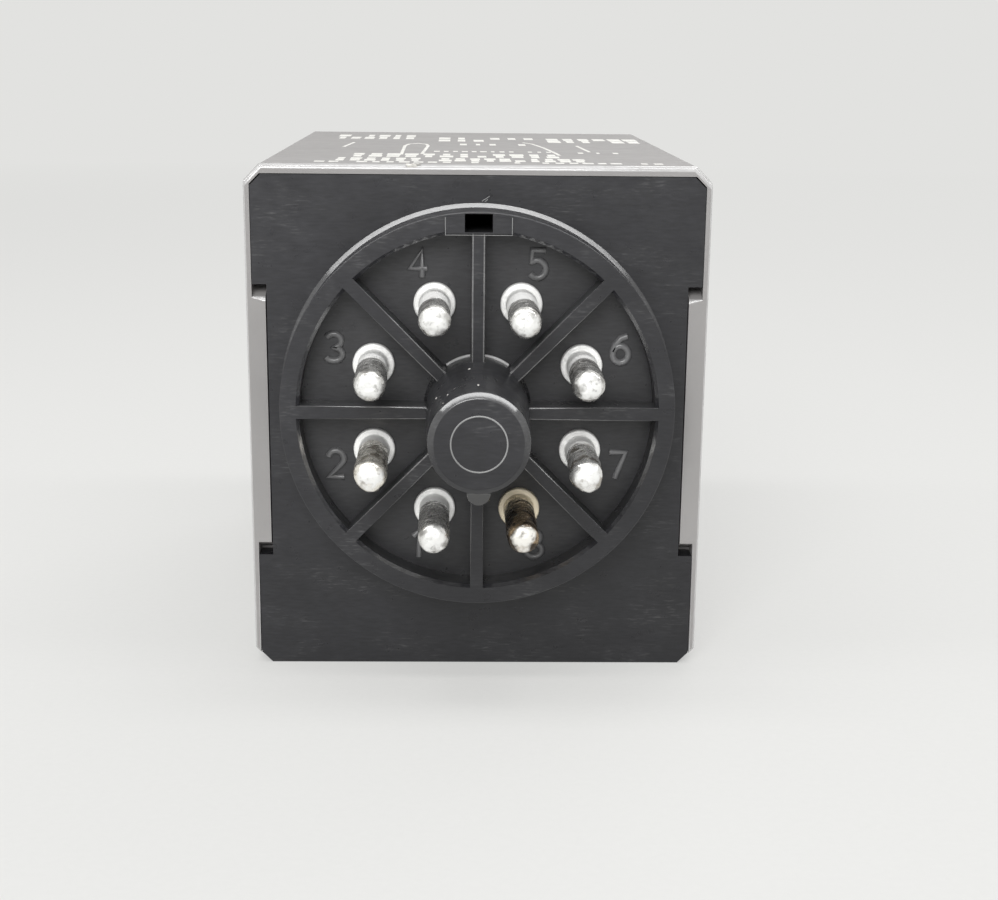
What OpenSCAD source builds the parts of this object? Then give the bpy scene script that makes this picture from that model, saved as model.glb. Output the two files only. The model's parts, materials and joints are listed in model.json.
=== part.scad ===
// Plug-in time delay relay with an eight-pin octal base.
// Each sub-part is drawn in the plug's own axes: x to the right, y up and z out along the pins,
// with z = 0 on the seating face of the ring. plug() then lays the part down, so that the pins
// point along -Y, the case runs along +Y and +Z is up.

/* [Case] */
// Width of the case
case_w = 36; // [34:0.5:42]
// Height of the case
case_h = 40; // [39:0.5:46]
// Depth of the case from its rear rim to its front face; a longer relay or thicker stack makes it deeper
case_d = 56; // [50:0.5:66]
// Height of the case above the axis of the pin circle
axis_to_top = 18.35; // [17.5:0.05:19]
// Thickness of the side, top and bottom walls
case_wall = 1.5; // [1.3:0.1:1.8]
// Thickness of the front wall
front_wall = 2; // [1.8:0.1:2.5]
// Chamfer along the four long edges
edge_chamfer = 1.25; // [1:0.05:1.6]
// Lip that stays above the base plate
rim_top = 0.75; // [0.5:0.05:1]
// Lip that stays beside the base plate
rim_side = 0.45; // [0.3:0.05:0.7]
// Height of the tongue left standing on each side wall
tongue_h = 19.6; // [14:0.2:22]
// Open gap above and below each tongue
tongue_gap = 1.05; // [0.5:0.05:1.5]
// Reach of the rails that hold the power board
rail_reach = 1.2; // [0.8:0.1:1.4]

/* [Base] */
// Thickness of the base plate
plate_t = 2.2; // [1.8:0.1:2.6]
// Outer diameter of the ring
ring_d = 30.4; // [30:0.1:31.6]
// Wall of the ring
ring_wall = 1.5; // [1.2:0.1:1.8]
// Height of the ring above the plate
ring_stand = 4.5; // [4:0.1:5.2]
// Depth of the recess inside the ring
recess_depth = 2.8; // [2.2:0.1:3.2]
// Thickness of the floor that carries the pins
floor_t = 2; // [1.6:0.1:2.4]
// Thickness of the eight ribs
rib_t = 1; // [0.8:0.1:1.3]
// Diameter of the post inside the ring
post_root_d = 8; // [7.8:0.05:8.4]
// Diameter of the post at its tip
post_tip_d = 7.4; // [7:0.05:7.6]
// Length of the post beyond the seating face
post_len = 11.6; // [10.5:0.1:13]
// Width of the round-crested locating key under the post
key_w = 1.7; // [1.4:0.1:2.2]
// Distance of the key's crest from the post axis
key_reach = 4.85; // [4.5:0.05:5.2]
// Length of the key beyond the seating face
key_len = 11; // [8:0.1:11.2]
// Width of the block at the top of the ring
block_w = 5; // [4:0.1:6]
// Width of the slot through the block
slot_w = 2.1; // [1.6:0.1:2.6]
// Height of the slot through the block
slot_h = 1.35; // [1:0.05:1.4]
// Depth of the skirt that enters the case
skirt_h = 3.5; // [3:0.1:4]

/* [Pins] */
// Diameter of the pin circle
pin_circle = 17.45; // [17:0.05:17.9]
// Diameter of a pin
pin_d = 2.36; // [2.2:0.02:2.5]
// Length of a pin beyond the seating face
pin_len = 8; // [6.5:0.1:9]
// Diameter of the collar on the floor
collar_d = 3.25; // [3:0.05:3.4]
// Thickness of the collar
collar_t = 0.5; // [0.3:0.1:0.8]
// Radius of the dome at the tip of a pin
tip_dome_r = 1.7; // [1.3:0.1:3]
// Bore of a pin
pin_bore_d = 1.3; // [1.1:0.05:1.4]
// Diameter of a lead
lead_d = 0.8; // [0.6:0.05:0.9]

/* [Dial] */
// Diameter of the time knob
knob_d = 23; // [20:0.5:24]
// Height of the time knob
knob_h = 5; // [4.5:0.5:8]
// Diameter of the potentiometer shaft
shaft_d = 6; // [5:0.25:6.5]
// Diameter of the potentiometer body
pot_d = 16; // [15:0.5:17]
// Thickness of the scale plate
face_t = 0.5; // [0.4:0.1:0.8]
// Diameter of the range selector
selector_d = 4.4; // [4:0.1:4.8]
// Diameter of an indicator light
led_d = 3; // [2.6:0.1:3.2]
// Distance of each indicator from the middle of the case
led_x = 8; // [6:0.5:10]

/* [Boards] */
// Thickness of the circuit boards
board_t = 1.6; // [1.2:0.1:1.8]
// Height of the power board above the floor of the case
board_lift = 4; // [3:0.1:4.5]
// Space between the front board and the front wall
front_space = 8.5; // [8:0.1:9.2]

/* [Output relay] */
// Width of the yoke and armature
yoke_w = 12; // [10:0.5:13]
// Thickness of the yoke
yoke_t = 1.5; // [1.2:0.1:1.8]
// Diameter of the core
core_d = 5; // [4:0.25:6]
// Diameter of the winding
coil_d = 11.6; // [10:0.2:12]
// Length of the winding
coil_len = 14; // [12:0.5:15]
// Thickness of the armature
armature_t = 1.4; // [1:0.1:1.6]
// Angle of the open armature, in degrees
armature_open = 4; // [3:0.25:4.5]
// Distance of the contacts from the armature's hinge line
contact_reach = 20; // [19:0.25:23]

/* [Fits] */
// Radial clearance of a turning shaft
running_gap = 0.06; // [0.04:0.01:0.1]
// Clearance of pieces that are slid or dropped together
slip_gap = 0.1; // [0.06:0.02:0.16]

/* [Hidden] */
$fn = 96;
pin_count = 8;
rib_count = 8;
over = 0.5;

// Levels of the case along the pin axis and across it
z_rim = -ring_stand;
z_floor = -recess_depth;
z_floor_in = z_floor - floor_t;
z_plate = z_rim - plate_t;
z_skirt = z_plate - skirt_h;
y_top = axis_to_top;
y_bot = y_top - case_h;
y_mid = (y_top + y_bot) / 2;
in_x = case_w / 2 - case_wall;
in_bot = y_bot + case_wall;

// Ring, post and key
ring_r = ring_d / 2;
ring_in_r = ring_r - ring_wall;
ring_bevel = 0.25;
ring_edge = 0.06;
ring_root = 0.3;
post_bevel = 0.4;
post_root = 0.2;
post_core_d = 4;
post_end_t = 2.2;
boss_wall = 1.6;
tongue_slope = tongue_gap - 2 * slip_gap;
slot_drop = 0.14;
slot_top = ring_r - slot_drop;
slot_low = slot_top - slot_h;
block_proud = 0.12;
block_top = sqrt(pow(ring_r - ring_edge, 2) - pow(block_w / 2, 2)) - block_proud;
block_lip = 0.1;
block_low = slot_low - block_lip;
skirt_t = 1.4;

// Timer chip and the header between the boards
ic_x = 9.6;
ic_y = 3.2;
ic_h = 3.2;
ic_stand = 0.6;
ic_rise = 7;
ic_legs = 8;
ic_pitch = 2.3;
ic_leg_w = 0.6;
ic_leg_t = 0.35;
header_x = 7;
header_t = 1.3;
header_h = 2.5;
header_ways = 6;
header_pitch = 2.2;
header_pin_w = 0.6;
header_reach = 0.7;

// Levels of the power board and the output relay, and the front wall that leaves room for the stack
board_gap = 0.5;
lead_room = 4.6;
strip_t = 0.5;
nc_back = 3.2;
base_lip = 1;
tail_len = 4.2;
ic_gap = 0.35;
z_board = z_skirt - board_gap;
z_relay = z_board - lead_room;
z_hinge = z_relay - base_lip - strip_t - nc_back - contact_reach;
z_stack = z_hinge - tail_len - ic_gap - ic_h - ic_stand - board_t - front_space - front_wall;
z_front = min(z_rim - case_d, z_stack);
z_in = z_front + front_wall;

// Snap lugs on the skirt and their pockets in the side walls
lug_h = 8;
lug_reach = 0.6;
lug_z = z_plate - 1.4;
lug_len = 1.3;
lug_gap = 0.15;
lug_land = 0.4;
lug_tip = slip_gap + lug_reach;

// Pins and leads
collar_z = z_floor + collar_t;
solder_below = 0.2;
z_solder = z_floor - solder_below;
swage_inset = 0.15;
swage_d = collar_d - swage_inset;
swage_t = 0.5;
pin_tail = 0.4;
lead_low = 1.2;
lead_step = 1.9;
lead_pad_d = 1.7;
lead_pad_h = 0.9;

// Boards
y_board = in_bot + board_lift;
y_board_top = y_board + board_t;
board_side_gap = 0.25;
board_x = in_x - board_side_gap;
z_fb_front = z_in + front_space;
z_fb_rear = z_fb_front + board_t;
rail_t = 1.2;
rail_gap = 0.06;
rail_end = 1;
peg_inset = 3.3;
peg_x = in_x - peg_inset;
peg_y = 11;
peg_d = 4;
peg_tip_d = 1.8;
peg_tip_proud = 0.8;
peg_tip_len = board_t + peg_tip_proud;
front_board_gap = 0.3;

// Dial, selector and indicators
face_inset = 1.8;
bush_wall = 1;
bush_d = shaft_d + 2 * bush_wall;
pot_h = 5;
pot_cap_t = 1.6;
pot_wall = 1.7;
rotor_gap = 0.3;
rotor_d = pot_d - 2 * (pot_wall + rotor_gap);
rotor_t = 1.2;
rotor_lift = 1;
knob_gap = 0.3;
knob_top_t = 2;
knob_wall = 1.8;
knob_boss_wall = 2;
knob_boss_d = shaft_d + 2 * knob_boss_wall;
knob_cap_t = 1.6;
knob_bore_depth = knob_h - knob_cap_t;
flute_count = 24;
flute_d = 1.4;
flat_cut = 1.2;
pointer_w = 1.1;
pointer_depth = 0.5;
pointer_start = knob_boss_d / 2 - pointer_w;
selector_rise = 5;
selector_room = 0.3;
selector_y = y_bot + selector_rise;
selector_case_x = 7;
selector_case_y = 5.2;
selector_case_h = 5;
selector_slot_w = 0.8;
selector_slot_depth = 1;
selector_recess = 0.3;
selector_shoulder = 0.2;
selector_disc_d = selector_d + 2 * selector_shoulder;
selector_disc_t = 1;
led_drop = 4.7;
led_y = y_top - led_drop;
led_shoulder = 0.4;
led_flange_d = led_d + 2 * led_shoulder;
led_flange_t = 1;
led_stand = 1.6;
led_leg_d = 0.5;
lens_margin = 0.3;
lens_shoulder = 0.7;
lens_d = led_d + 2 * lens_margin;
lens_flange_d = lens_d + 2 * lens_shoulder;
lens_flange_t = 0.8;
lens_proud = 0.3;
lens_light_gap = 0.3;

// Output relay: hinge line on the outer top edge of the yoke
strip_w = 3;
blade_x = 4.6;
blade_t = 0.25;
relay_base_t = 2;
relay_x = 8.3;
tail_w = 4;
tail_gap = 0.2;
spring_back = 3;
y_relay = y_board_top + relay_base_t;
y_yoke = y_relay + yoke_t;
flange_t = 0.8;
flange_lip = 0.5;
flange_d = coil_d + 2 * flange_lip;
bobbin_wall = 1;
foot_w = 5;
pole_t = 0.8;
pole_lip = 1.6;
pole_d = core_d + 2 * pole_lip;
pole_gap = 0.1;
hinge_gap = 0.05;
y_bobbin_top = y_yoke + coil_len + 2 * flange_t;
y_hinge = y_bobbin_top + pole_t + pole_gap;
yoke_gap = 0.8;
core_back = yoke_t + yoke_gap + flange_d / 2;
z_core = z_hinge + core_back;
pole_lap = 1;
armature_len = core_back + pole_d / 2 + pole_lap;
insulator_t = 2;
insulator_lap = 3.2;
insulator_len = 6;
insulator_past = 1;
blade_gap = 0.3;
blade_past = 1.5;
blade_start = armature_len + blade_gap;
blade_end = contact_reach + blade_past;
blade_y = armature_t - blade_t;
rivet_d = 2.2;
rivet_h = 0.6;
rivet_margin = 0.2;
touch_gap = 0.06;
tilt_gap = 0.13;

// Heights of the contact faces when the armature is closed and when it is open
y_no = y_hinge + blade_y - rivet_h - touch_gap;
rivet_rise = (armature_t + rivet_h) * cos(armature_open) + contact_reach * sin(armature_open);
y_nc = y_hinge + rivet_rise + tilt_gap;
terminal_x = 7.3;
terminal_d = 0.8;
terminal_rise = 1.2;

// Return spring and braids
spring_r = 1.15;
spring_wire_d = 0.4;
spring_turns = 7;
spring_turn_steps = 14;
spring_sides = 8;
spring_hole_d = 1;
spring_hook = 0.7;
spring_lead = 0.7;
spring_top_drop = 1.2;
spring_low_rise = 1;
spring_top_arm = 3.2;
spring_low_arm = 2.7;
lug_drop = 10;
lug_t = 1.2;
braid_d = 0.8;
braid_inset = 1.5;
braid_z = z_hinge + blade_start + braid_inset;
braid_bow = 1.6;

// Supply pieces stand one behind the other in the strips between the relay and the side walls
supply_gap = 2;
can_d = 5;
can_h = 11;
can_bead_r = 0.25;
can_bead_y = 1.6;
film_x = 5;
film_y = 9.5;
film_z = 11;
varistor_d = 7;
varistor_t = 3.2;
varistor_stand = 1;
varistor_leg_d = 0.6;
varistor_leg_gap = 2.5;
varistor_leg_step = 0.6;
rectifier_x = 4.8;
rectifier_y = 4;
rectifier_z = 6;
resistor_d = 2;
resistor_len = 5;
resistor_wire_d = 0.6;
resistor_rise = 1.4;
resistor_span = 7;
resistor_step = 2.6;
film_gap = 0.3;
side_x = in_x - rail_reach - film_gap - film_x / 2;
z_supply = z_relay - supply_gap;
z_can = z_supply - can_d / 2;
z_film = z_can - can_d / 2 - supply_gap - film_z / 2;
z_varistor = z_supply - varistor_d / 2;
z_rectifier = z_varistor - varistor_d / 2 - supply_gap - rectifier_z / 2;
z_resistor = z_rectifier - rectifier_z / 2 - supply_gap - resistor_span / 2;

function pin_angle(n) = 270 - 22.5 - 45 * (n - 1);
function pin_x(n) = pin_circle / 2 * cos(pin_angle(n));
function pin_y(n) = pin_circle / 2 * sin(pin_angle(n));

// Corners of a rectangle with its four corners cut off
function cut_corners(x, y0, y1, c) = [
    [-x + c, y0], [x - c, y0], [x, y0 + c], [x, y1 - c],
    [x - c, y1], [-x + c, y1], [-x, y1 - c], [-x, y0 + c]
];

module plug() {
    rotate([90, 0, 0]) children();
}

module span(z0, z1) {
    translate([0, 0, z0]) linear_extrude(z1 - z0) children();
}

module rod(d, z0, z1) {
    translate([0, 0, z0]) cylinder(d = d, h = z1 - z0);
}

// Upright rod along y
module post_y(d, y0, y1) {
    translate([0, y0, 0]) rotate([-90, 0, 0]) cylinder(d = d, h = y1 - y0);
}

module box(x0, x1, y0, y1, z0, z1) {
    translate([x0, y0, z0]) cube([x1 - x0, y1 - y0, z1 - z0]);
}

module both_sides() {
    children();
    mirror([1, 0, 0]) children();
}

// Outline of the case, drawn in by an inset all round
module case_outline(inset) {
    corner = max(0.1, edge_chamfer - inset * (2 - sqrt(2)));
    polygon(cut_corners(case_w / 2 - inset, y_bot + inset, y_top - inset, corner));
}

// Outline of the base plate: it stops short of the rim at the top and sides and runs out at the bottom
module plate_outline(gap) {
    x = case_w / 2 - rim_side - gap;
    top = y_top - rim_top - gap;
    low = y_bot + gap;
    corner = edge_chamfer - rim_side + gap;
    polygon(cut_corners(x, low, top, corner));
}

// Tongues of the side walls, with ends that slope back to the plate's inner face
module tongues() {
    half = tongue_h / 2;
    wide = half + tongue_slope;
    both_sides() translate([in_x, y_mid, 0]) rotate([90, 0, 90]) linear_extrude(case_wall + over) polygon([
        [-wide, z_plate - over], [wide, z_plate - over], [wide, z_plate], [half, z_rim],
        [half, z_rim + 2 * over], [-half, z_rim + 2 * over], [-half, z_rim], [-wide, z_plate]
    ]);
}

module front_places() {
    translate([-led_x, led_y]) children();
    translate([led_x, led_y]) children();
}

module front_holes(grow) {
    translate([0, y_mid]) circle(d = bush_d + 2 * grow);
    translate([0, selector_y]) circle(d = selector_d + 2 * (selector_room + grow));
    front_places() circle(d = lens_d + 2 * grow);
}

// Two ribs on each side wall, under and over the edge of the power board
module rails() {
    low = y_board - rail_gap - rail_t;
    high = y_board_top + rail_gap;
    both_sides() for (y = [low, high])
        box(in_x - rail_reach, in_x + over, y, y + rail_t, z_fb_rear + rail_end, z_skirt - rail_end);
}

module at_pegs() {
    for (sx = [-1, 1], sy = [-1, 1]) translate([sx * peg_x, y_mid + sy * peg_y, 0]) children();
}

module pegs() {
    at_pegs() {
        rod(peg_d, z_in - over, z_fb_front);
        rod(peg_tip_d, z_in, z_fb_front + peg_tip_len);
    }
}

module housing() {
    color("silver") plug() difference() {
        union() {
            difference() {
                span(z_front, z_rim) case_outline(0);
                span(z_in, z_rim + over) case_outline(case_wall);
                difference() {
                    span(z_plate, z_rim + over) polygon(cut_corners(case_w / 2 - rim_side,
                        y_bot - 2 * edge_chamfer, y_top - rim_top, edge_chamfer - rim_side));
                    tongues();
                }
            }
            rails();
            pegs();
        }
        span(z_front - over, z_front + face_t) case_outline(face_inset);
        span(z_front - over, z_in + over) front_holes(slip_gap);
        both_sides() box(in_x - over, in_x + lug_reach + lug_gap, y_mid - lug_h / 2 - lug_gap,
            y_mid + lug_h / 2 + lug_gap, lug_z - lug_len - lug_gap, lug_z + lug_gap);
    }
}

// Ring and boss as one turned section with bevelled front edges and a bevelled root
module ring_section() {
    foot = ring_r + ring_root;
    polygon([
        [0, z_floor_in], [foot, z_floor_in], [foot, z_rim], [ring_r, z_rim + ring_root],
        [ring_r, -ring_edge], [ring_r - ring_edge, 0], [ring_in_r + ring_bevel, 0],
        [ring_in_r, -ring_bevel], [ring_in_r, z_floor], [0, z_floor]
    ]);
}

module post_section() {
    root = post_root_d / 2;
    foot = root + post_root;
    tip = post_tip_d / 2;
    polygon([
        [0, z_floor_in], [foot, z_floor_in], [foot, z_floor], [root, z_floor + post_root], [root, 0],
        [tip, post_len - post_bevel], [tip - post_bevel, post_len], [0, post_len]
    ]);
}

module ribs() {
    for (i = [0 : rib_count - 1]) rotate(i * 360 / rib_count)
        box(0, ring_in_r + ring_wall / 2, -rib_t / 2, rib_t / 2, z_floor_in, 0);
}

// Key along the post, with a lead-in sloped at 45 degrees
module key() {
    crest = key_reach - key_w / 2;
    start = post_tip_d / 2;
    low = key_reach + over;
    difference() {
        union() {
            box(-key_w / 2, key_w / 2, -crest, 0, z_floor_in, key_len);
            translate([0, -crest, 0]) rod(key_w, z_floor_in, key_len);
        }
        translate([-key_w, 0, 0]) rotate([90, 0, 90]) linear_extrude(2 * key_w) polygon([
            [-start + over, key_len + over], [-low, key_len + over], [-low, key_len + start - low]
        ]);
    }
}

module skirt() {
    span(z_skirt, z_plate + over) difference() {
        case_outline(case_wall + slip_gap);
        case_outline(case_wall + slip_gap + skirt_t);
    }
    both_sides() translate([in_x - slip_gap, y_mid - lug_h / 2, lug_z]) rotate([-90, 0, 0])
        linear_extrude(lug_h) polygon([
            [-over, 0], [lug_tip, 0], [lug_tip, lug_land], [0, lug_len], [-over, lug_len]
        ]);
}

module base() {
    color("dimgray") plug() difference() {
        union() {
            span(z_plate, z_rim) difference() {
                plate_outline(slip_gap / 2);
                both_sides() translate([in_x - slip_gap, y_mid - tongue_h / 2 - tongue_gap])
                    square([2 * case_wall, tongue_h + 2 * tongue_gap]);
            }
            rod(ring_d, z_plate, z_floor_in + over);
            rotate_extrude() ring_section();
            rotate_extrude() post_section();
            ribs();
            key();
            box(-block_w / 2, block_w / 2, block_low, block_top, z_floor_in, block_proud);
            skirt();
        }
        rod(ring_d - 2 * boss_wall, z_plate - over, z_floor_in);
        rod(post_core_d, z_plate - over, post_len - post_end_t);
        for (n = [1 : pin_count]) translate([pin_x(n), pin_y(n), 0])
            rod(pin_d + slip_gap, z_plate - over, over);
        box(-slot_w / 2, slot_w / 2, slot_low, slot_top, z_plate - over, over);
    }
}

// Turned pin, filled with solder from its domed tip to its collar, with a swaged rim and an open tail
module pin(n) {
    z_swage = z_floor_in - swage_t;
    z_tail = z_swage - pin_tail;
    color("gainsboro") plug() translate([pin_x(n), pin_y(n), 0]) difference() {
        union() {
            difference() {
                rod(pin_d, z_tail, pin_len);
                difference() {
                    rod(2 * pin_d, pin_len - tip_dome_r, pin_len + over);
                    translate([0, 0, pin_len - tip_dome_r]) sphere(r = tip_dome_r);
                }
            }
            rod(collar_d, z_floor, collar_z);
            rod(swage_d, z_swage, z_floor_in);
        }
        rod(pin_bore_d, z_tail - over, z_solder);
    }
}

// Stiff tinned lead: along the bore of its pin, round one bend and down to the power board
module lead(n) {
    upper = pin_y(n) > 0;
    z_drop = z_board - lead_low - (upper ? lead_step : 0);
    color("silver") plug() translate([pin_x(n), 0, 0]) {
        translate([0, pin_y(n), 0]) rod(lead_d, z_drop, z_solder);
        translate([0, pin_y(n), z_drop]) sphere(d = lead_d);
        translate([0, 0, z_drop]) {
            post_y(lead_d, y_board_top, pin_y(n));
            translate([0, y_board_top, 0]) rotate([-90, 0, 0])
                cylinder(d1 = lead_pad_d, d2 = lead_d, h = lead_pad_h);
        }
    }
}

module face_plate() {
    color("dimgray") plug() span(z_front, z_front + face_t) difference() {
        case_outline(face_inset + slip_gap);
        front_holes(slip_gap);
    }
}

// Shaft end with one flat, for the knob and the shaft alike
module flatted(grow) {
    difference() {
        circle(d = shaft_d + 2 * grow);
        translate([-shaft_d, shaft_d / 2 - flat_cut + grow]) square([2 * shaft_d, shaft_d]);
    }
}

module time_knob() {
    z1 = z_front - knob_gap;
    z0 = z1 - knob_h;
    color("gainsboro") plug() translate([0, y_mid, 0]) difference() {
        union() {
            difference() {
                rod(knob_d, z0, z1);
                rod(knob_d - 2 * knob_wall, z0 + knob_top_t, z1 + over);
            }
            rod(knob_boss_d, z0 + knob_top_t - over, z1);
        }
        span(z1 - knob_bore_depth, z1 + over) flatted(running_gap / 2);
        for (i = [0 : flute_count - 1]) rotate(i * 360 / flute_count)
            translate([knob_d / 2 + flute_d / 4, 0, 0]) rod(flute_d, z0 - over, z1 + over);
        box(-pointer_w / 2, pointer_w / 2, pointer_start, knob_d, z0 - over, z0 + pointer_depth);
    }
}

module pot_shaft() {
    z_knob = z_front - knob_gap;
    z_end = z_knob - knob_bore_depth + running_gap;
    color("lightgray") plug() translate([0, y_mid, 0]) {
        rod(rotor_d, z_fb_front - rotor_lift - rotor_t, z_fb_front - rotor_lift);
        rod(shaft_d, z_knob, z_fb_front - rotor_lift - rotor_t + over);
        span(z_end, z_knob + over) flatted(0);
    }
}

module pot_body() {
    z_cap = z_fb_front - pot_h;
    color("darkslategray") plug() translate([0, y_mid, 0]) difference() {
        union() {
            rod(pot_d, z_cap, z_fb_front);
            rod(bush_d, z_front + slip_gap, z_cap + over);
        }
        rod(rotor_d + 2 * rotor_gap, z_cap + pot_cap_t, z_fb_front + over);
        rod(shaft_d + 2 * running_gap, z_front - over, z_fb_front);
    }
}

module range_selector() {
    z_disc = z_fb_front - selector_disc_t - running_gap;
    color("white") plug() translate([0, selector_y, 0]) difference() {
        union() {
            rod(selector_d, z_front + selector_recess, z_disc + over);
            rod(selector_disc_d, z_disc, z_fb_front - running_gap);
        }
        box(-selector_slot_w / 2, selector_slot_w / 2, -selector_d, selector_d,
            z_front - over, z_front + selector_recess + selector_slot_depth);
    }
}

module selector_body() {
    z_cap = z_fb_front - selector_case_h;
    z_seat = z_fb_front - selector_disc_t - 2 * running_gap;
    color("dimgray") plug() translate([0, selector_y, 0]) difference() {
        box(-selector_case_x / 2, selector_case_x / 2, -selector_case_y / 2, selector_case_y / 2,
            z_cap, z_fb_front);
        rod(selector_d + 2 * running_gap, z_cap - over, z_fb_front);
        rod(selector_disc_d + 2 * running_gap, z_seat, z_fb_front + over);
    }
}

module lens(side, tint) {
    color(tint) plug() translate([side * led_x, led_y, 0]) {
        rod(lens_d, z_front - lens_proud, z_in + over);
        rod(lens_flange_d, z_in, z_in + lens_flange_t);
    }
}

module led(side, tint) {
    z_flange = z_fb_front - led_stand;
    z_dome = z_in + lens_flange_t + lens_light_gap + led_d / 2;
    color(tint) plug() translate([side * led_x, led_y, 0]) {
        for (leg = [-1, 1]) translate([leg * led_d / 4, 0, 0]) rod(led_leg_d, z_flange - over, z_fb_front);
        rod(led_flange_d, z_flange - led_flange_t, z_flange);
        rod(led_d, z_dome, z_flange);
        translate([0, 0, z_dome]) sphere(d = led_d);
    }
}

module front_board() {
    color("darkgreen") plug() difference() {
        span(z_fb_front, z_fb_rear) case_outline(case_wall + front_board_gap);
        at_pegs() rod(peg_tip_d + 2 * slip_gap, z_fb_front - over, z_fb_rear + over);
    }
}

// Dual in-line chip on the inner face of the front board
module timer_ic() {
    color("black") plug() translate([0, y_mid + ic_rise, z_fb_rear]) {
        box(-ic_x, ic_x, -ic_y, ic_y, ic_stand, ic_stand + ic_h);
        for (i = [0 : ic_legs - 1], side = [-1, 1])
            translate([(i - (ic_legs - 1) / 2) * ic_pitch, side * ic_y, 0])
                box(-ic_leg_w / 2, ic_leg_w / 2, -ic_leg_t, ic_leg_t, 0, ic_stand + ic_h / 2);
    }
}

// Right-angle header that joins the power board to the front board
module board_header() {
    color("black") plug() translate([0, y_board_top, z_fb_rear]) {
        box(-header_x, header_x, 0, header_h, 0, header_t);
        for (i = [0 : header_ways - 1]) translate([(i - (header_ways - 1) / 2) * header_pitch, 0, 0])
            box(-header_pin_w / 2, header_pin_w / 2, 0, header_h / 2, header_t - over,
                header_t + header_reach);
    }
}

module power_board() {
    color("darkgreen") plug() box(-board_x, board_x, y_board, y_board_top, z_fb_rear + slip_gap, z_board);
}

module on_board(side, z) {
    translate([side * side_x, y_board_top, z]) children();
}

module smoothing_capacitor() {
    color("midnightblue") plug() on_board(-1, z_can) difference() {
        post_y(can_d, 0, can_h);
        translate([0, can_bead_y, 0]) rotate([-90, 0, 0]) rotate_extrude()
            translate([can_d / 2, 0]) circle(r = can_bead_r);
    }
}

module dropping_capacitor() {
    color("firebrick") plug() on_board(-1, z_film)
        box(-film_x / 2, film_x / 2, 0, film_y, -film_z / 2, film_z / 2);
}

module varistor() {
    middle = varistor_stand + varistor_d / 2;
    color("royalblue") plug() on_board(1, z_varistor) {
        translate([-varistor_t / 2, middle, 0]) rotate([0, 90, 0]) cylinder(d = varistor_d, h = varistor_t);
        for (side = [-1, 1]) translate([side * varistor_leg_step, 0, side * varistor_leg_gap])
            post_y(varistor_leg_d, 0, middle);
    }
}

module rectifier() {
    color("black") plug() on_board(1, z_rectifier)
        box(-rectifier_x / 2, rectifier_x / 2, 0, rectifier_y, -rectifier_z / 2, rectifier_z / 2);
}

module resistor(side) {
    color("tan") plug() on_board(1, z_resistor) translate([side * resistor_step / 2, 0, 0]) {
        translate([0, resistor_rise, 0]) {
            rod(resistor_d, -resistor_len / 2, resistor_len / 2);
            rod(resistor_wire_d, -resistor_span / 2, resistor_span / 2);
        }
        for (end = [-1, 1]) translate([0, 0, end * resistor_span / 2]) {
            post_y(resistor_wire_d, 0, resistor_rise);
            translate([0, resistor_rise, 0]) sphere(d = resistor_wire_d);
        }
    }
}

// Upright strip with a bent arm that carries a fixed contact over or under a blade
module fixed_contact(side, back, face, above) {
    z_strip = z_hinge + contact_reach + back;
    z_contact = z_hinge + contact_reach;
    arm = above ? face + rivet_h : face - rivet_h - strip_t;
    rivet = above ? face : arm;
    z_arm = z_contact - rivet_d / 2 - rivet_margin;
    translate([side * blade_x, 0, 0]) {
        box(-strip_w / 2, strip_w / 2, y_board_top, arm + strip_t, z_strip, z_strip + strip_t);
        box(-strip_w / 2, strip_w / 2, arm, arm + strip_t, z_arm, z_strip + strip_t);
        translate([0, 0, z_contact]) post_y(rivet_d, rivet, rivet + rivet_h + strip_t);
    }
}

module no_contact(side) {
    color("goldenrod") plug() fixed_contact(side, rivet_d / 2 + rivet_margin, y_no, false);
}

module nc_contact(side) {
    color("goldenrod") plug() fixed_contact(side, nc_back, y_nc, true);
}

module strip_slots(back) {
    z_strip = z_hinge + contact_reach + back;
    both_sides() translate([blade_x, 0, 0]) box(-strip_w / 2 - slip_gap, strip_w / 2 + slip_gap,
        y_board_top - over, y_relay + over, z_strip - slip_gap, z_strip + strip_t + slip_gap);
}

module relay_base() {
    color("saddlebrown") plug() difference() {
        box(-relay_x, relay_x, y_board_top, y_relay, z_hinge - tail_len - tail_gap, z_relay);
        strip_slots(rivet_d / 2 + rivet_margin);
        strip_slots(nc_back);
        both_sides() translate([terminal_x, 0, z_core])
            post_y(terminal_d + 2 * slip_gap, y_board_top - over, y_relay + over);
    }
}

module yoke() {
    half = yoke_w / 2;
    lug_y = y_hinge - lug_drop;
    color("lightsteelblue") plug() difference() {
        union() {
            box(-half, half, y_relay, y_yoke, z_hinge, z_core + core_d);
            box(-half, half, y_relay, y_hinge - hinge_gap, z_hinge, z_hinge + yoke_t);
            box(-tail_w / 2, tail_w / 2, lug_y, lug_y + lug_t, z_hinge - tail_len, z_hinge + over);
        }
        translate([0, 0, z_core]) post_y(core_d, y_relay - over, y_yoke + over);
        translate([0, 0, z_hinge - spring_back]) post_y(spring_hole_d, lug_y - over, lug_y + lug_t + over);
    }
}

module core() {
    color("gray") plug() translate([0, 0, z_core]) {
        post_y(core_d - slip_gap, y_relay, y_bobbin_top + over);
        post_y(pole_d, y_bobbin_top, y_bobbin_top + pole_t);
    }
}

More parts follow.
